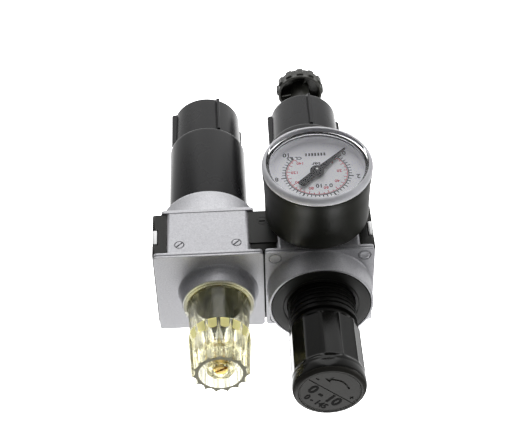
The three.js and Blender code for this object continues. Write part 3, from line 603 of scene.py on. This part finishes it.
def lubricator_casting():
    collar = rounded([(0, TOP - 2), (19.2, TOP - 2), (18.7, TOP + 0.02, 0.3), (17.7, TOP + 0.7, 0.8),
                      (17.1, TOP + 2.2, 0.8), (16.85, DOME_COLLAR_TOP - 0.1, 0.5),
                      (14.2, DOME_COLLAR_TOP, 0.2), (14.2, TOP + 2), (0, TOP + 2)])
    outer = high("lubricator_body").x
    inner = high("coupling_seal").x + 0.3
    bosses = [boss(inner, LUB_X - BLOCK_HALF + 1), boss(LUB_X + BLOCK_HALF - 1, outer)]
    holes = [bore(PORT_CORE, inner - 1, outer + 1), bore(PORT_THREAD, outer - 9.6, outer + 1)]
    for side in ("left", "right"):
        spot = centre(f"passage_plug_{side}")
        inward = at(spot.x, -PANEL_Y, spot.z) @ Matrix.Rotation(-math.pi / 2, 4, "X")
        holes.append(make("hole", disc(2.28, -1, 3, 40), inward))
    casting("lubricator_casting", "lubricator_body", LUB_X, collar, DOME_X, bosses, holes)
    port_thread("outlet_thread", outer, -1)
    for side in ("left", "right"):
        slotted_plug(side)


def slotted_plug(side):
    node = f"passage_plug_{side}"
    spot = centre(node)
    r = width(node) / 2
    matrix = at(spot.x, -PANEL_Y, spot.z) @ Matrix.Rotation(math.pi / 2, 4, "X")
    profile = rounded([(0, -2.8), (r, -2.8), (r, 0.02, 0.25), (0, 0.02)])
    plug = make(f"slotted_plug_{side}", lathe(profile, 48), matrix)
    slot_turn = Matrix.Rotation(math.radians(45), 4, "Z")
    slot = make("slot", block(-3, 3, -0.34, 0.34, -1.1, 1), matrix @ slot_turn)
    combine(plug, "DIFFERENCE", [slot])
    dress(plug, CASTING, stands_for=[node])


# ---- bonnet, lock ring, adjusting knob -----------------------------------------------------
def bonnet():
    neck, pitch, depth = 15.5, 2.6, 0.75
    end = low("adjusting_knob").z - 3.7

    def thread(r, z, angle):
        if abs(r - neck) > 1e-3:
            return r
        phase = (z / pitch - angle / TAU) % 1
        fade = smooth_step(RING_TOP, RING_TOP + 1.5, z) * smooth_step(end, end - 1, z)
        groove = smooth_step(0.28, 0.46, abs(phase - 0.5))
        return r - depth * groove * fade

    outer = [(neck, z) for z in evenly(RING_TOP - 3, end, 0.13)]
    obj = make("bonnet_thread", lathe([
        (13.0, RING_TOP - 3), *outer, (14.8, end + 0.25), (14.2, end + 0.6), (14.2, KNOB_LOW + 5),
        (13.2, KNOB_LOW + 8), (4, KNOB_LOW + 8), (4, KNOB_LOW + 6), (13.0, KNOB_LOW + 4)], 128, thread))
    obj.data.transform(at(REG_X * MM))
    dress(obj, THREAD_BLACK, stands_for=["bonnet"])


def lock_ring():
    profile = rounded([
        (15.75, RING_TOP - 3), (RING_RADIUS, RING_TOP - 3), (RING_RADIUS, RING_TOP - 0.15, 0.4),
        (20.5, RING_TOP, 0.3), (17.6, RING_TOP, 0.3), (17.2, RING_TOP - 0.35, 0.3),
        (15.75, RING_TOP - 0.35, 0.2)], closed=True)
    obj = make("lock_ring_satin", lathe(profile, 128), at(REG_X))
    dress(obj, SATIN_BLACK, stands_for=["lock_ring"])


KNOB_LOBES = 12
KNOB_FLUTE_END = TOP + 54.6
KNOB_TURN = math.radians(7.6)  # direction of one ridge
KNOB_DISC_RADIUS = 13.6


def knob_flutes(r, z, angle):
    """Shallow hollows between thin ridges, fading out before the smooth rim."""
    if r < KNOB_RADIUS - 0.5:
        return r
    hollow = abs(math.sin((angle - KNOB_TURN) * KNOB_LOBES / 2)) ** 0.55
    fade = smooth_step(KNOB_FLUTE_END, KNOB_FLUTE_END - 2.2, z)
    return r - 0.75 * hollow * fade


def adjusting_knob():
    r = KNOB_RADIUS
    floor = KNOB_HIGH - 1.9
    side = [(r - 0.25 + 0.2 * smooth_step(KNOB_LOW, KNOB_HIGH, z), z)
            for z in evenly(KNOB_LOW + 0.7, KNOB_FLUTE_END + 1.4, 0.5)]
    rim = rounded([(r, KNOB_FLUTE_END + 1.6), (r, KNOB_HIGH - 2.2, 1), (r - 0.55, KNOB_HIGH - 0.8, 0.8),
                   (r - 1.9, KNOB_HIGH, 0.6), (KNOB_DISC_RADIUS + 0.12, KNOB_HIGH, 0.1),
                   (KNOB_DISC_RADIUS + 0.1, floor)], steps=5)
    profile = [(14.9, KNOB_LOW), (r - 0.55, KNOB_LOW), *side, *rim, (7, floor), (7, KNOB_HIGH - 10),
               (14.9, KNOB_HIGH - 10)]
    obj = make("knob_shell", lathe(profile, KNOB_LOBES * 24, knob_flutes), at(REG_X), crease=40)
    dress(obj, BLACK, "knob", stands_for=["adjusting_knob"])
    # Upward-facing faces of the rim take the disc's grey: partly the matte moulding's own grey, partly a
    # painted highlight on the rounding.
    paint_faces(obj, DISC_GREY, lambda spot, normal: spot.z > KNOB_HIGH - 1.5 and normal.z > 0.35)


def text_shape(name, words, size, thick, matrix, swell=0.0):
    """Solid characters of Blender's own font, centred, in millimetres."""
    curve = bpy.data.curves.new(name, "FONT")
    curve.body = words
    curve.size = size
    curve.extrude = thick / 2
    curve.offset = swell * size / 2
    curve.resolution_u = 3
    curve.align_x = "CENTER"
    curve.align_y = "CENTER"
    holder = bpy.data.objects.new(name, curve)
    SCENE.collection.objects.link(holder)
    bpy.context.view_layer.update()
    graph = bpy.context.evaluated_depsgraph_get()
    mesh = bpy.data.meshes.new_from_object(holder.evaluated_get(graph))
    bpy.data.objects.remove(holder)
    mesh.transform(matrix)
    mesh.transform(Matrix.Scale(MM, 4))
    obj = bpy.data.objects.new(name, mesh)
    SCENE.collection.objects.link(obj)
    finish_mesh(mesh, 30)
    return obj


def arc_bar(inner, outer, start, end, z0, z1, steps=24):
    """Flat bar bent along an arc, angles in degrees."""
    outline = []
    for i in range(steps + 1):
        a = math.radians(start + (end - start) * i / steps)
        outline.append((outer * math.cos(a), outer * math.sin(a)))
    for i in range(steps, -1, -1):
        a = math.radians(start + (end - start) * i / steps)
        outline.append((inner * math.cos(a), inner * math.sin(a)))
    return prism(outline, z0, z1)


def join(objects):
    """Joins meshes into the first one."""
    target = objects[0]
    work = bmesh.new()
    for obj in objects:
        work.from_mesh(obj.data)
    work.to_mesh(target.data)
    work.free()
    for obj in objects[1:]:
        bpy.data.objects.remove(obj)
    return target


DISC_TURN = 137.0  # degrees


def knob_disc():
    """Round plate in the knob's end with a generic turning arrow, a dividing step and a range."""
    r = KNOB_DISC_RADIUS
    face = KNOB_HIGH - 0.12
    base = at(REG_X) @ Matrix.Rotation(math.radians(DISC_TURN), 4, "Z")
    profile = rounded([(0, face - 1.4), (r, face - 1.4), (r, face, 0.25), (r - 0.5, face),
                       (r - 0.65, face - 0.1), (0, face - 0.1)])
    plate = make("knob_end_disc", lathe(profile, 96), at(REG_X))
    marks = [text_shape("knob_range", "0 - 10", 7.4, 0.2, base @ at(0.2, -3.6, face - 0.1), 0.06),
             text_shape("second_range", "0 - 145", 4.4, 0.2, base @ at(0, -9.0, face - 0.1), 0.06)]
    z0, z1 = face - 0.5, face + 0.1
    grooves = [block(-12.9, 12.9, 0.1, 0.6, z0, z1),
               arc_bar(7.9, 8.8, 52, 128, z0, z1),
               prism([(-4.7, 4.6), (-5.4, 8.4), (-8.0, 5.2)], z0, z1),
               block(-11.2, -9.2, 2.7, 3.3, z0, z1),
               block(9.2, 11.2, 2.7, 3.3, z0, z1),
               block(9.9, 10.5, 2.0, 4.0, z0, z1)]
    combine(plate, "DIFFERENCE", [make("groove", shape, base) for shape in grooves])
    dress(plate, DISC_GREY, "knob", stands_for=["knob_disc"])
    dress(join(marks), KNOB_INK, "knob").name = "knob_disc_marks"


# ---- bowls and drain -----------------------------------------------------------------------
BOWL_STEP_UP = TOP - 95.2 - BOWL_END  # the step's height above the bowl's end
RIB_COUNT = 4
RIB_HALF = 3.6  # degrees


def bowl_ribs(first_rib):
    """Radius of the ribbed lower stretch; first_rib is one rib's direction in degrees."""
    def swing(r, z, angle):
        if not 15.9 < r < 17.9:
            return r
        turn = (math.degrees(angle) - first_rib + 180 / RIB_COUNT) % (360 / RIB_COUNT) - 180 / RIB_COUNT
        side = 1 - smooth_step(RIB_HALF * 0.45, RIB_HALF, abs(turn))
        run = smooth_step(BOWL_END + 0.2, BOWL_END + 1.6, z)
        return r + (BOWL_RADIUS - 0.15 - r) * side * run
    return swing


def bowl(name, node, x, first_rib, floor_profile):
    step = BOWL_END + BOWL_STEP_UP
    wall_low = [(16.9 + 0.5 * (z - BOWL_END) / BOWL_STEP_UP, z)
                for z in evenly(BOWL_END + 1.1, step - 1.3, 0.6)]
    outer = rounded([(15.3, BOWL_END), (16.2, BOWL_END, 0.5), (16.85, BOWL_END + 0.7, 0.4), wall_low[0]])
    upper = rounded([(17.45, step - 1.0), (18.2, step - 0.5, 0.3), (19.0, step + 0.3, 0.6), (19.1, step + 2),
                     (BOWL_RADIUS, COLLAR_END - 1), (BOWL_RADIUS - 0.05, COLLAR_END - 0.25, 0.25),
                     (17.4, COLLAR_END - 0.25), (17.4, BOWL_NECK_TOP)], steps=5)
    inner = [(15.6, BOWL_NECK_TOP), (15.6, COLLAR_END - 4), (17.3, COLLAR_END - 6), (17.2, step + 1),
             (15.4, step - 2), (15.0, BOWL_END + 5), (13, BOWL_END + 2.6),
             (floor_profile[0][0], BOWL_END + 2.6)]
    profile = [*floor_profile, *outer, *wall_low[1:], *upper, *inner]
    obj = make(name, lathe(profile, 360, bowl_ribs(first_rib)), at(x), crease=35)
    dress(obj, BOWL, stands_for=[node])


REG_RIB = 261.0  # direction of one rib, degrees
LUB_RIB = 249.0


def bowls():
    spout_end = low("filter_bowl").z
    spout = rounded([(3.4, spout_end), (4.6, spout_end, 0.3), (7.2, BOWL_END + 0.15, 0.8),
                     (11.5, BOWL_END + 0.15, 0.3), (11.9, BOWL_END + 0.5, 0.2),
                     (13.6, BOWL_END + 0.5, 0.2)], steps=3)
    bowl("filter_bowl_shell", "filter_bowl", REG_X, REG_RIB, spout)
    base = rounded([(0, BOWL_END + 0.6), (12.6, BOWL_END + 0.6, 0.3), (13.4, BOWL_END + 0.1, 0.3)], steps=3)
    bowl("oil_bowl_shell", "oil_bowl", LUB_X, LUB_RIB, base)


DRAIN_WHEEL = 6.5  # height of the drain knob's wheel
DRAIN_WEBS = 3
LOBES = 12
LOBE_DEPTH = 0.95


def drain_lobes(r, z, angle):
    """Square-shouldered lobes round the drain knob."""
    if r < DRAIN_RADIUS - LOBE_DEPTH:
        return r
    wave = math.cos(LOBES * angle)
    top = DRAIN_LOW + DRAIN_WHEEL
    fade = smooth_step(top - 1.2, top - 1.9, z)
    return r - LOBE_DEPTH * smooth_step(0.25, -0.45, wave) * fade - 0.8 * (1 - fade)


def drain_knob():
    r = DRAIN_RADIUS
    z0, z1 = DRAIN_LOW, DRAIN_LOW + DRAIN_WHEEL
    tip = high("drain_knob").z
    side = [(r - 0.02, z) for z in evenly(z0 + 0.5, z1 - 0.3, 0.35)]
    under = [(2.9, z0 + 0.9), (7.6, z0 + 0.9), (8.2, z0 + 0.1), (r - 1.1, z0), (r - 0.5, z0 + 0.1)]
    dish = [(r - 1.0, z1), (10.8, z1), (10.4, z1 - 0.5), (10.1, z0 + 2.2), (4.95, z0 + 1.8)]
    neck = [(4.95, z0 + 3), (4.95, tip - 0.3), (4.75, tip), (4.2, tip), (4.15, tip - 3.3),
            (2.9, tip - 3.5), (2.9, z0 + 1.2)]
    profile = [*under, *side, *dish, *neck]
    obj = make("drain_knob_lobed", lathe(profile, 288, drain_lobes), at(REG_X), crease=38)
    dress(obj, DRAIN, "drain_knob", stands_for=["drain_knob"])
    web_outline = rounded([(4.2, -0.45, 0.2), (10.3, -0.45, 0.2), (10.3, 0.45, 0.2), (4.2, 0.45, 0.2)],
                          closed=True, steps=2)
    for i in range(DRAIN_WEBS):
        turn = Matrix.Rotation(TAU * (i + 0.1) / DRAIN_WEBS, 4, "Z")
        web = make(f"drain_web_{i + 1}", prism(web_outline, z0 + 1.9, z0 + 5.2), at(REG_X) @ turn)
        dress(soften(web, 0.15), DRAIN, "drain_knob")


# ---- gauge ---------------------------------------------------------------------------------
SCALE_START = 225.0  # degrees, counter-clockwise from +X, seen from the front
SCALE_SWEEP = 270.0
SCALE_RADIUS = 14.3
DIVISIONS = 40
RED_DIVISIONS = 28
POINTER_REST = 226.8
CASE_RIM = 55.2  # the case's front edge, before the unit's axis


def gauge_case():
    profile = rounded([
        (9, GAUGE_BACK), (22.6, GAUGE_BACK, 0.5), (23.9, GAUGE_BACK + 1.6, 1.6), (24.0, GAUGE_BACK + 12, 3),
        (24.25, 48, 3), (24.75, CASE_RIM - 2.2, 0.8), (24.85, CASE_RIM, 0.3), (22.75, CASE_RIM, 0.2),
        (22.75, GAUGE_BACK + 3), (9, GAUGE_BACK + 3)], closed=True)
    shell = make("gauge_case_shell", lathe(profile, 160), GAUGE)
    dress(shell, CASE, stands_for=["gauge_case"])


def gauge_window():
    front = GAUGE_FRONT
    r = GAUGE_RADIUS
    profile = rounded([
        (0, front - 2.7), (21.6, front - 2.7, 0.4), (22.2, front - 4.2, 0.4), (22.2, front - 5.6),
        (22.6, front - 5.6), (22.6, front - 3.9, 0.2), (r - 0.15, front - 3.9, 0.3), (r, front - 1.4, 0.6),
        (24.3, front - 0.2, 0.6), (23.4, front, 0.5), (22.7, front - 0.1, 0.4), (22.1, front - 1.4, 0.3),
        (21.7, front - 1.55, 0.2), (0, front - 1.25)], steps=5)
    window = make("gauge_window_clear", lathe(profile, 160), GAUGE)
    dress(window, WINDOW, stands_for=["gauge_window"])
    axis = centre("gauge_window")

    def on_rim(spot, normal):
        return math.hypot(spot.x - axis.x, spot.z - axis.z) > 23.0 and spot.y < 3.6 - front

    # The window's outer rim faces are painted pale: a painted highlight on the clear rim.
    paint_faces(window, WINDOW_EDGE, on_rim)
    # Thin dark ring under the window's rim: painted shade, drawing a dark line that shows through the clear
    # rim.
    z0, z1 = CASE_RIM + 0.02, CASE_RIM + 0.14
    seat = rounded([(22.9, z0), (24.6, z0), (24.6, z1), (22.9, z1)], closed=True)
    dress(make("gauge_window_shade_ring", lathe(seat, 128), GAUGE), RUBBER)


def gauge_dial():
    r = DIAL_RADIUS
    f = DIAL_FACE
    dish = rounded([(1.3, f - 0.8), (r, f - 0.8, 0.2), (r, f + 3.0, 0.15), (r - 0.5, f + 3.0, 0.15),
                    (r - 0.7, f, 0.5), (1.3, f)], closed=True)
    dress(make("dial_dish", lathe(dish, 128), GAUGE), DIAL, stands_for=["gauge_dial"])


def scale_angle(share):
    return math.radians(SCALE_START - SCALE_SWEEP * share)


def scale_arc(inner, outer, z0, z1):
    return arc_bar(inner, outer, SCALE_START - SCALE_SWEEP, SCALE_START, z0, z1, 90)


def dial_text(words, x, y, size, swell=0.05):
    return text_shape("dial_text", words, size, 0.1, GAUGE @ at(x, y, DIAL_FACE), swell)


def dial_number(words, share, radius, size):
    a = scale_angle(share)
    return dial_text(words, radius * math.cos(a), radius * math.sin(a), size)


def black_scale(z0, z1):
    """Scale in bar, with the words on the dial and a row of dashes for its small print."""
    r = SCALE_RADIUS
    marks = [make("scale", scale_arc(r - 0.2, r + 0.2, z0, z1), GAUGE)]
    for i in range(DIVISIONS + 1):
        long = i % 8 == 0
        middle = i % 4 == 0
        reach = 2.3 if long else 1.9 if middle else 1.5
        thick = 0.32 if long else 0.2
        turn = Matrix.Rotation(scale_angle(i / DIVISIONS), 4, "Z")
        marks.append(make("tick", block(r, r + reach, -thick, thick, z0, z1), GAUGE @ turn))
    marks += [dial_number(str(i * 2), i / 5, r + 4.4, 3.5) for i in range(6)]
    marks += [dial_text("bar", 0, -6.4, 3.0), dial_text("CL 2.5", 9.8, -10.8, 2.6),
              dial_text("0 - 10", -2.6, 8.2, 3.2, 0.06)]
    for i in range(7):
        x = -4.7 + i * 1.4
        marks.append(make("dash", block(x, x + 0.9, -13.9, -11.9, z0, z1), GAUGE))
    return marks


def red_scale(z0, z1):
    r = SCALE_RADIUS
    marks = [make("scale_red", scale_arc(r - 0.72, r - 0.42, z0, z1), GAUGE)]
    for i in range(RED_DIVISIONS + 1):
        reach = 1.6 if i % 2 == 0 else 0.9
        turn = Matrix.Rotation(scale_angle(i / RED_DIVISIONS), 4, "Z")
        marks.append(make("tick", block(r - 0.6 - reach, r - 0.6, -0.15, 0.15, z0, z1), GAUGE @ turn))
    marks += [dial_number(str(i * 5), i / RED_DIVISIONS, r - 4.1, 2.3)
              for i in range(0, RED_DIVISIONS + 1, 4)]
    return marks


def dial_scales():
    z0, z1 = DIAL_FACE - 0.02, DIAL_FACE + 0.05
    dress(join(black_scale(z0, z1)), INK).name = "dial_scale_black"
    dress(join(red_scale(z0, z1)), RED_INK).name = "dial_scale_red"


def gauge_pointer():
    turn = Matrix.Rotation(math.radians(POINTER_REST), 4, "Z")
    f = DIAL_FACE
    z0, z1 = f + 1.2, f + 1.75
    outline = rounded([(-11.8, -1.9, 1.4), (-5.5, -1.75), (0, -1.7), (10, -1.05), (20.2, -0.4, 0.35),
                       (20.2, 0.4, 0.35), (10, 1.05), (0, 1.7), (-5.5, 1.75), (-11.8, 1.9, 1.4)], closed=True)
    blade = soften(make("pointer_blade", prism(outline, z0, z1), GAUGE @ turn), 0.12)
    dress(blade, POINTER_PAINT, "pointer", stands_for=["gauge_pointer"])
    hub = rounded([(0, f + 0.7), (2.4, f + 0.7, 0.3), (3.2, f + 1.0, 0.3), (3.2, f + 2.3, 0.5),
                   (1.5, f + 2.8, 0.4), (0.8, f + 2.7), (0, f + 2.7)])
    dress(make("pointer_hub", lathe(hub, 64), GAUGE), POINTER_PAINT, "pointer")
    tip = rounded([(0, f + 2.5), (0.6, f + 2.5), (0.6, f + 3.0, 0.3), (0, f + 3.1)])
    dress(make("pointer_pivot", lathe(tip, 32), GAUGE), STEEL, "pointer")


# ---- sight dome ----------------------------------------------------------------------------
RIDGES = 15
RIDGE_LENGTH = 21.0  # ridged stretch, down from the top
RIDGE_RUN = 4.5  # over which the flutes deepen
CUP_DEPTH = 8.0
CUP_RADIUS = 9.7
DOME_BOSS = 6.1


def dome_ridges(r, z, angle):
    """Pointed ridges with hollow flutes between them; only the outer wall of the ridged stretch swings."""
    if r < 12.5:
        return r
    start = DOME_TOP - RIDGE_LENGTH
    if z < start - 0.05:
        return r
    hollow = abs(math.sin((angle + math.pi / 2) * RIDGES / 2)) ** 0.7
    return r - 2.1 * hollow * min(1, (z - start + 0.3) / RIDGE_RUN)


def sight_dome():
    seat = DOME_COLLAR_TOP
    start = DOME_TOP - RIDGE_LENGTH
    floor = DOME_TOP - CUP_DEPTH
    heights = evenly(start + 0.15, start + RIDGE_RUN, 0.55)
    heights += evenly(start + RIDGE_RUN + 1.2, DOME_TOP - 0.15, 1.5)
    side = [(14.15 - 0.85 * smooth_step(start, DOME_TOP, z), z) for z in heights]
    foot = [(11.4, TOP + 1.2), (13.6, TOP + 1.2), (13.6, seat + 0.25), (15.9, seat + 0.25),
            (16.05, seat + 0.5), (15.9, seat + 0.9), (14.9, seat + 1.1), (14.4, seat + 1.8),
            (14.0, seat + 7), (13.4, start - 0.25), (13.3, start - 0.05)]
    cup = [(12.9, DOME_TOP), (CUP_RADIUS + 0.12, DOME_TOP), (CUP_RADIUS, DOME_TOP - 0.12),
           (CUP_RADIUS - 0.5, floor + 0.6), (CUP_RADIUS - 1.0, floor)]
    boss_wall = [(DOME_BOSS + 0.7, floor), (DOME_BOSS + 0.1, floor + 0.6), (DOME_BOSS, DOME_TOP - 1.9),
                 (DOME_BOSS - 0.3, DOME_TOP - 1.6), (4.0, DOME_TOP - 1.6), (3.75, DOME_TOP - 1.9),
                 (3.7, floor + 0.1), (1.9, floor)]
    inside = [(1.9, floor - 2.4), (8.6, floor - 2.4), (10.4, floor - 3.2), (11.1, floor - 5.5),
              (11.3, seat + 6)]
    shape = lathe([*foot, *side, *cup, *boss_wall, *inside], RIDGES * 20, dome_ridges)
    obj = make("sight_dome_clear", shape, at(DOME_X), crease=30)
    dress(obj, AMBER, stands_for=["sight_dome"])
    axis = Vector((DOME_X, 0, 0))

    def on_end(spot, normal):
        reach = (spot - axis).xy.length
        return normal.z > 0.9 and spot.z > DOME_TOP - 0.5 and reach > CUP_RADIUS

    def on_run(spot, normal):
        away = spot - axis
        turn = (math.atan2(away.y, away.x) + math.pi / 2) * RIDGES / TAU % 1
        on_flute = away.xy.length > 11.5 and 0.16 < turn < 0.84
        return on_flute and start < spot.z < start + RIDGE_RUN - 0.4

    paint_faces(obj, FROSTED, on_end)
    # The flute run-outs are painted bright yellow as a painted highlight, and their emission is a painted
    # glow.
    paint_faces(obj, YELLOW_EDGE, on_run)


def drip_parts():
    z = high("drip_insert").z
    profile = rounded([(1.2, TOP + 1.4), (9.6, TOP + 1.4, 0.4), (9.6, TOP + 7, 0.8), (7.0, TOP + 9, 0.8),
                       (6.2, z - 4, 0.6), (4.4, z - 0.6, 0.6), (3.8, z, 0.3), (2.2, z, 0.3),
                       (1.2, z - 1.5)], closed=True)
    insert = make("drip_insert_turned", lathe(profile, 72), at(DOME_X))
    dress(insert, GREY, stands_for=["drip_insert"])
    top = high("drip_screw").z
    base = low("drip_screw").z
    floor = DOME_TOP - CUP_DEPTH + 0.4
    profile = rounded([(0, base), (0.8, base + 1), (1.5, base + 3), (1.5, floor), (3.35, floor, 0.2),
                       (3.35, top - 0.3, 0.3), (2.6, top, 0.2), (0, top)])
    screw = make("drip_screw_brass", lathe(profile, 48), at(DOME_X))
    slot_place = at(DOME_X) @ Matrix.Rotation(0.5, 4, "Z")
    slot = make("slot", block(-5, 5, -0.5, 0.5, top - 1.5, top + 1), slot_place)
    combine(screw, "DIFFERENCE", [slot])
    dress(screw, BRASS, "drip_screw", stands_for=["drip_screw"])


# ---- coupling and end pieces ---------------------------------------------------------------
def coupling():
    mid = centre("coupling_block").x
    z0, z1 = low("coupling_block").z, high("coupling_block").z
    y = -low("coupling_block").y
    w = width("coupling_block") / 2
    neck = 4.1
    shoulder = y - w + neck
    outline = rounded([(-w, -y, 0.3), (w, -y, 0.3), (neck, -shoulder, 0.3), (neck, shoulder, 0.3),
                       (w, y, 0.3), (-w, y, 0.3), (-neck, shoulder, 0.3), (-neck, -shoulder, 0.3)],
                      closed=True, steps=2)
    body = make("coupling_cover", prism(outline, z0, z1), at(mid))
    screw_place = at(mid, 0, centre("clamp_screw").z) @ Matrix.Rotation(math.pi / 2, 4, "X")
    ledge = TOP - 8
    tools = [bore(PORT_RECESS, mid - 9, mid + 9),
             make("hole", disc(2.36, y - 8, y + 2, 48), screw_place),
             make("recess", block(-w - 1, w + 1, -y - 1, -y + 0.6, ledge, z1 + 1), at(mid))]
    combine(body, "DIFFERENCE", tools)
    dress(soften(body, 0.2), SATIN_BLACK, stands_for=["coupling_block"])
    profile = rounded([(0, y - 7.5), (2.3, y - 7.5), (2.3, y - 0.02, 0.1), (0, y - 0.02)])
    screw = make("clamp_screw_slotted", lathe(profile, 48), screw_place)
    slot = make("slot", block(-1.5, 1.5, -0.42, 0.42, y - 1.8, y + 1), screw_place)
    combine(screw, "DIFFERENCE", [slot])
    dress(screw, SATIN_BLACK, stands_for=["clamp_screw"])


SIDE_OVERHANG = 0.9  # how far the covers stand out past the port's face
LUG_INSET = 1.9  # from the cover's inner side to the lug


def end_piece(side, module_x, sign):
    """Black cover of an outer side, notched for its bright lug."""
    plate, lug = f"{side}_end_plate", f"{side}_lug"
    lo, hi = low(plate), high(plate)
    inner, y, c = BLOCK_HALF + GAP, hi.y, BLOCK_HALF - PANEL_HALF - 0.4
    outer = inner + width(lug) + SIDE_OVERHANG
    outline = rounded([(inner - c, -y, 0.3), (outer, -y, 1.2), (outer, y, 1.2), (inner - c, y, 0.3),
                       (inner, y - c), (inner, c - y)], closed=True)
    if sign < 0:
        outline = [(-px, py) for px, py in outline][::-1]
    cover = make(f"{side}_end_cover", prism(outline, lo.z, hi.z), at(module_x))
    a, b = low(lug), high(lug)
    edges = sorted([module_x + sign * (inner + LUG_INSET - 0.3), module_x + sign * (outer + 2)])
    notch = make("notch", block(*edges, a.y - 2, b.y + 0.3, a.z - 0.3, b.z + 0.3))
    hole = make("hole", disc(PORT_RECESS, a.x - 3, b.x + 3, 72), PORT_RIGHT)
    combine(cover, "DIFFERENCE", [notch, hole])
    dress(soften(cover, 0.3), SATIN_BLACK, stands_for=[plate])
    reach = sorted([module_x + sign * (inner + LUG_INSET), module_x + sign * (outer - 0.1)])
    tab = make(f"{side}_lug_plated", block(*reach, a.y, b.y, a.z, b.z))
    dress(soften(tab, 0.5, 3), STEEL, stands_for=[lug])


# ---- studio --------------------------------------------------------------------------------
FLOOR_DROP = 260
FLOOR_HALF = 6000


def aim(obj, location, target):
    obj.location = Vector(location) * MM
    obj.rotation_euler = (Vector(target) - Vector(location)).to_track_quat("-Z", "Y").to_euler()


def area_light(name, location, target, size, watts):
    data = bpy.data.lights.new(name, "AREA")
    data.shape = "RECTANGLE"
    data.size, data.size_y = size[0] * MM, size[1] * MM
    data.energy = watts
    obj = bpy.data.objects.new(name, data)
    SCENE.collection.objects.link(obj)
    aim(obj, location, target)


def pale_room():
    world = bpy.data.worlds.new("pale_room")
    SCENE.world = world
    world.use_nodes = True
    world.node_tree.nodes["Background"].inputs["Color"].default_value = (1, 1, 1, 1)
    world.node_tree.nodes["Background"].inputs["Strength"].default_value = 0.06


def pale_floor(middle_x):
    """Floor with a bright band under the unit, which the bowls and the knob reflect."""
    shader = Shader("pale_floor")
    across = shader.add("ShaderNodeSeparateXYZ", Vector=shader.place).outputs["X"]
    aside = shader.add("ShaderNodeMath", Value=across)
    aside.operation = "SUBTRACT"
    aside.inputs[1].default_value = middle_x * MM
    apart = shader.tree.nodes.new("ShaderNodeMath")
    apart.operation = "ABSOLUTE"
    shader.tree.links.new(aside.outputs[0], apart.inputs[0])
    glow = shader.between(apart.outputs[0], 2.1, 0.25, 0.17, 0.3)
    shader.surface(Base_Color=(0.9, 0.9, 0.9, 1), Roughness=0.9, Specular_IOR_Level=0.1,
                   Emission_Color=(1, 1, 1, 1), Emission_Strength=glow)
    return shader.material


def studio():
    pale_room()
    middle = (REG_X + 25, 0, -20)
    area_light("back_softbox", (90, 950, 430), middle, (1200, 420), 10)
    area_light("upper_fill", (50, -150, 1300), middle, (1000, 900), 1.3)
    area_light("side_fill", (-900, -60, 160), middle, (500, 500), 3.2)
    floor_z = DRAIN_LOW - FLOOR_DROP
    half = FLOOR_HALF
    outline = [(-half, -half), (half, -half), (half, half), (-half, half)]
    floor = make("floor", prism(outline, floor_z - 20, floor_z))
    floor.data.materials.append(pale_floor(middle[0]))
    SCENE.view_settings.view_transform = "Standard"


CAMERA_AZIMUTH = 1.345  # degrees
CAMERA_ELEVATION = 45.48
CAMERA_ROLL = 176.48
CAMERA_DISTANCE = 664.97
CAMERA_LENS = 93.49


def camera():
    az, el = math.radians(CAMERA_AZIMUTH), math.radians(CAMERA_ELEVATION)
    back = Vector((math.sin(az) * math.cos(el), -math.cos(az) * math.cos(el), math.sin(el)))
    target = Vector((REG_X + 25.25, 0, TOP - 47.68))
    data = bpy.data.cameras.new("camera")
    data.lens = CAMERA_LENS
    data.sensor_width = 36
    data.clip_start = 0.01
    obj = bpy.data.objects.new("camera", data)
    SCENE.collection.objects.link(obj)
    obj.location = (target + back * CAMERA_DISTANCE) * MM
    look = (-back).to_track_quat("-Z", "Y")
    obj.rotation_euler = (look @ Quaternion((0, 0, 1), math.radians(CAMERA_ROLL))).to_euler()
    SCENE.camera = obj


# ---- build ---------------------------------------------------------------------------------
camera()
studio()
dress_cad_nodes()
regulator_casting()
lubricator_casting()
bonnet()
lock_ring()
adjusting_knob()
knob_disc()
bowls()
drain_knob()
gauge_case()
gauge_window()
gauge_dial()
dial_scales()
gauge_pointer()
sight_dome()
drip_parts()
coupling()
end_piece("inlet", REG_X, -1)
end_piece("outlet", LUB_X, 1)
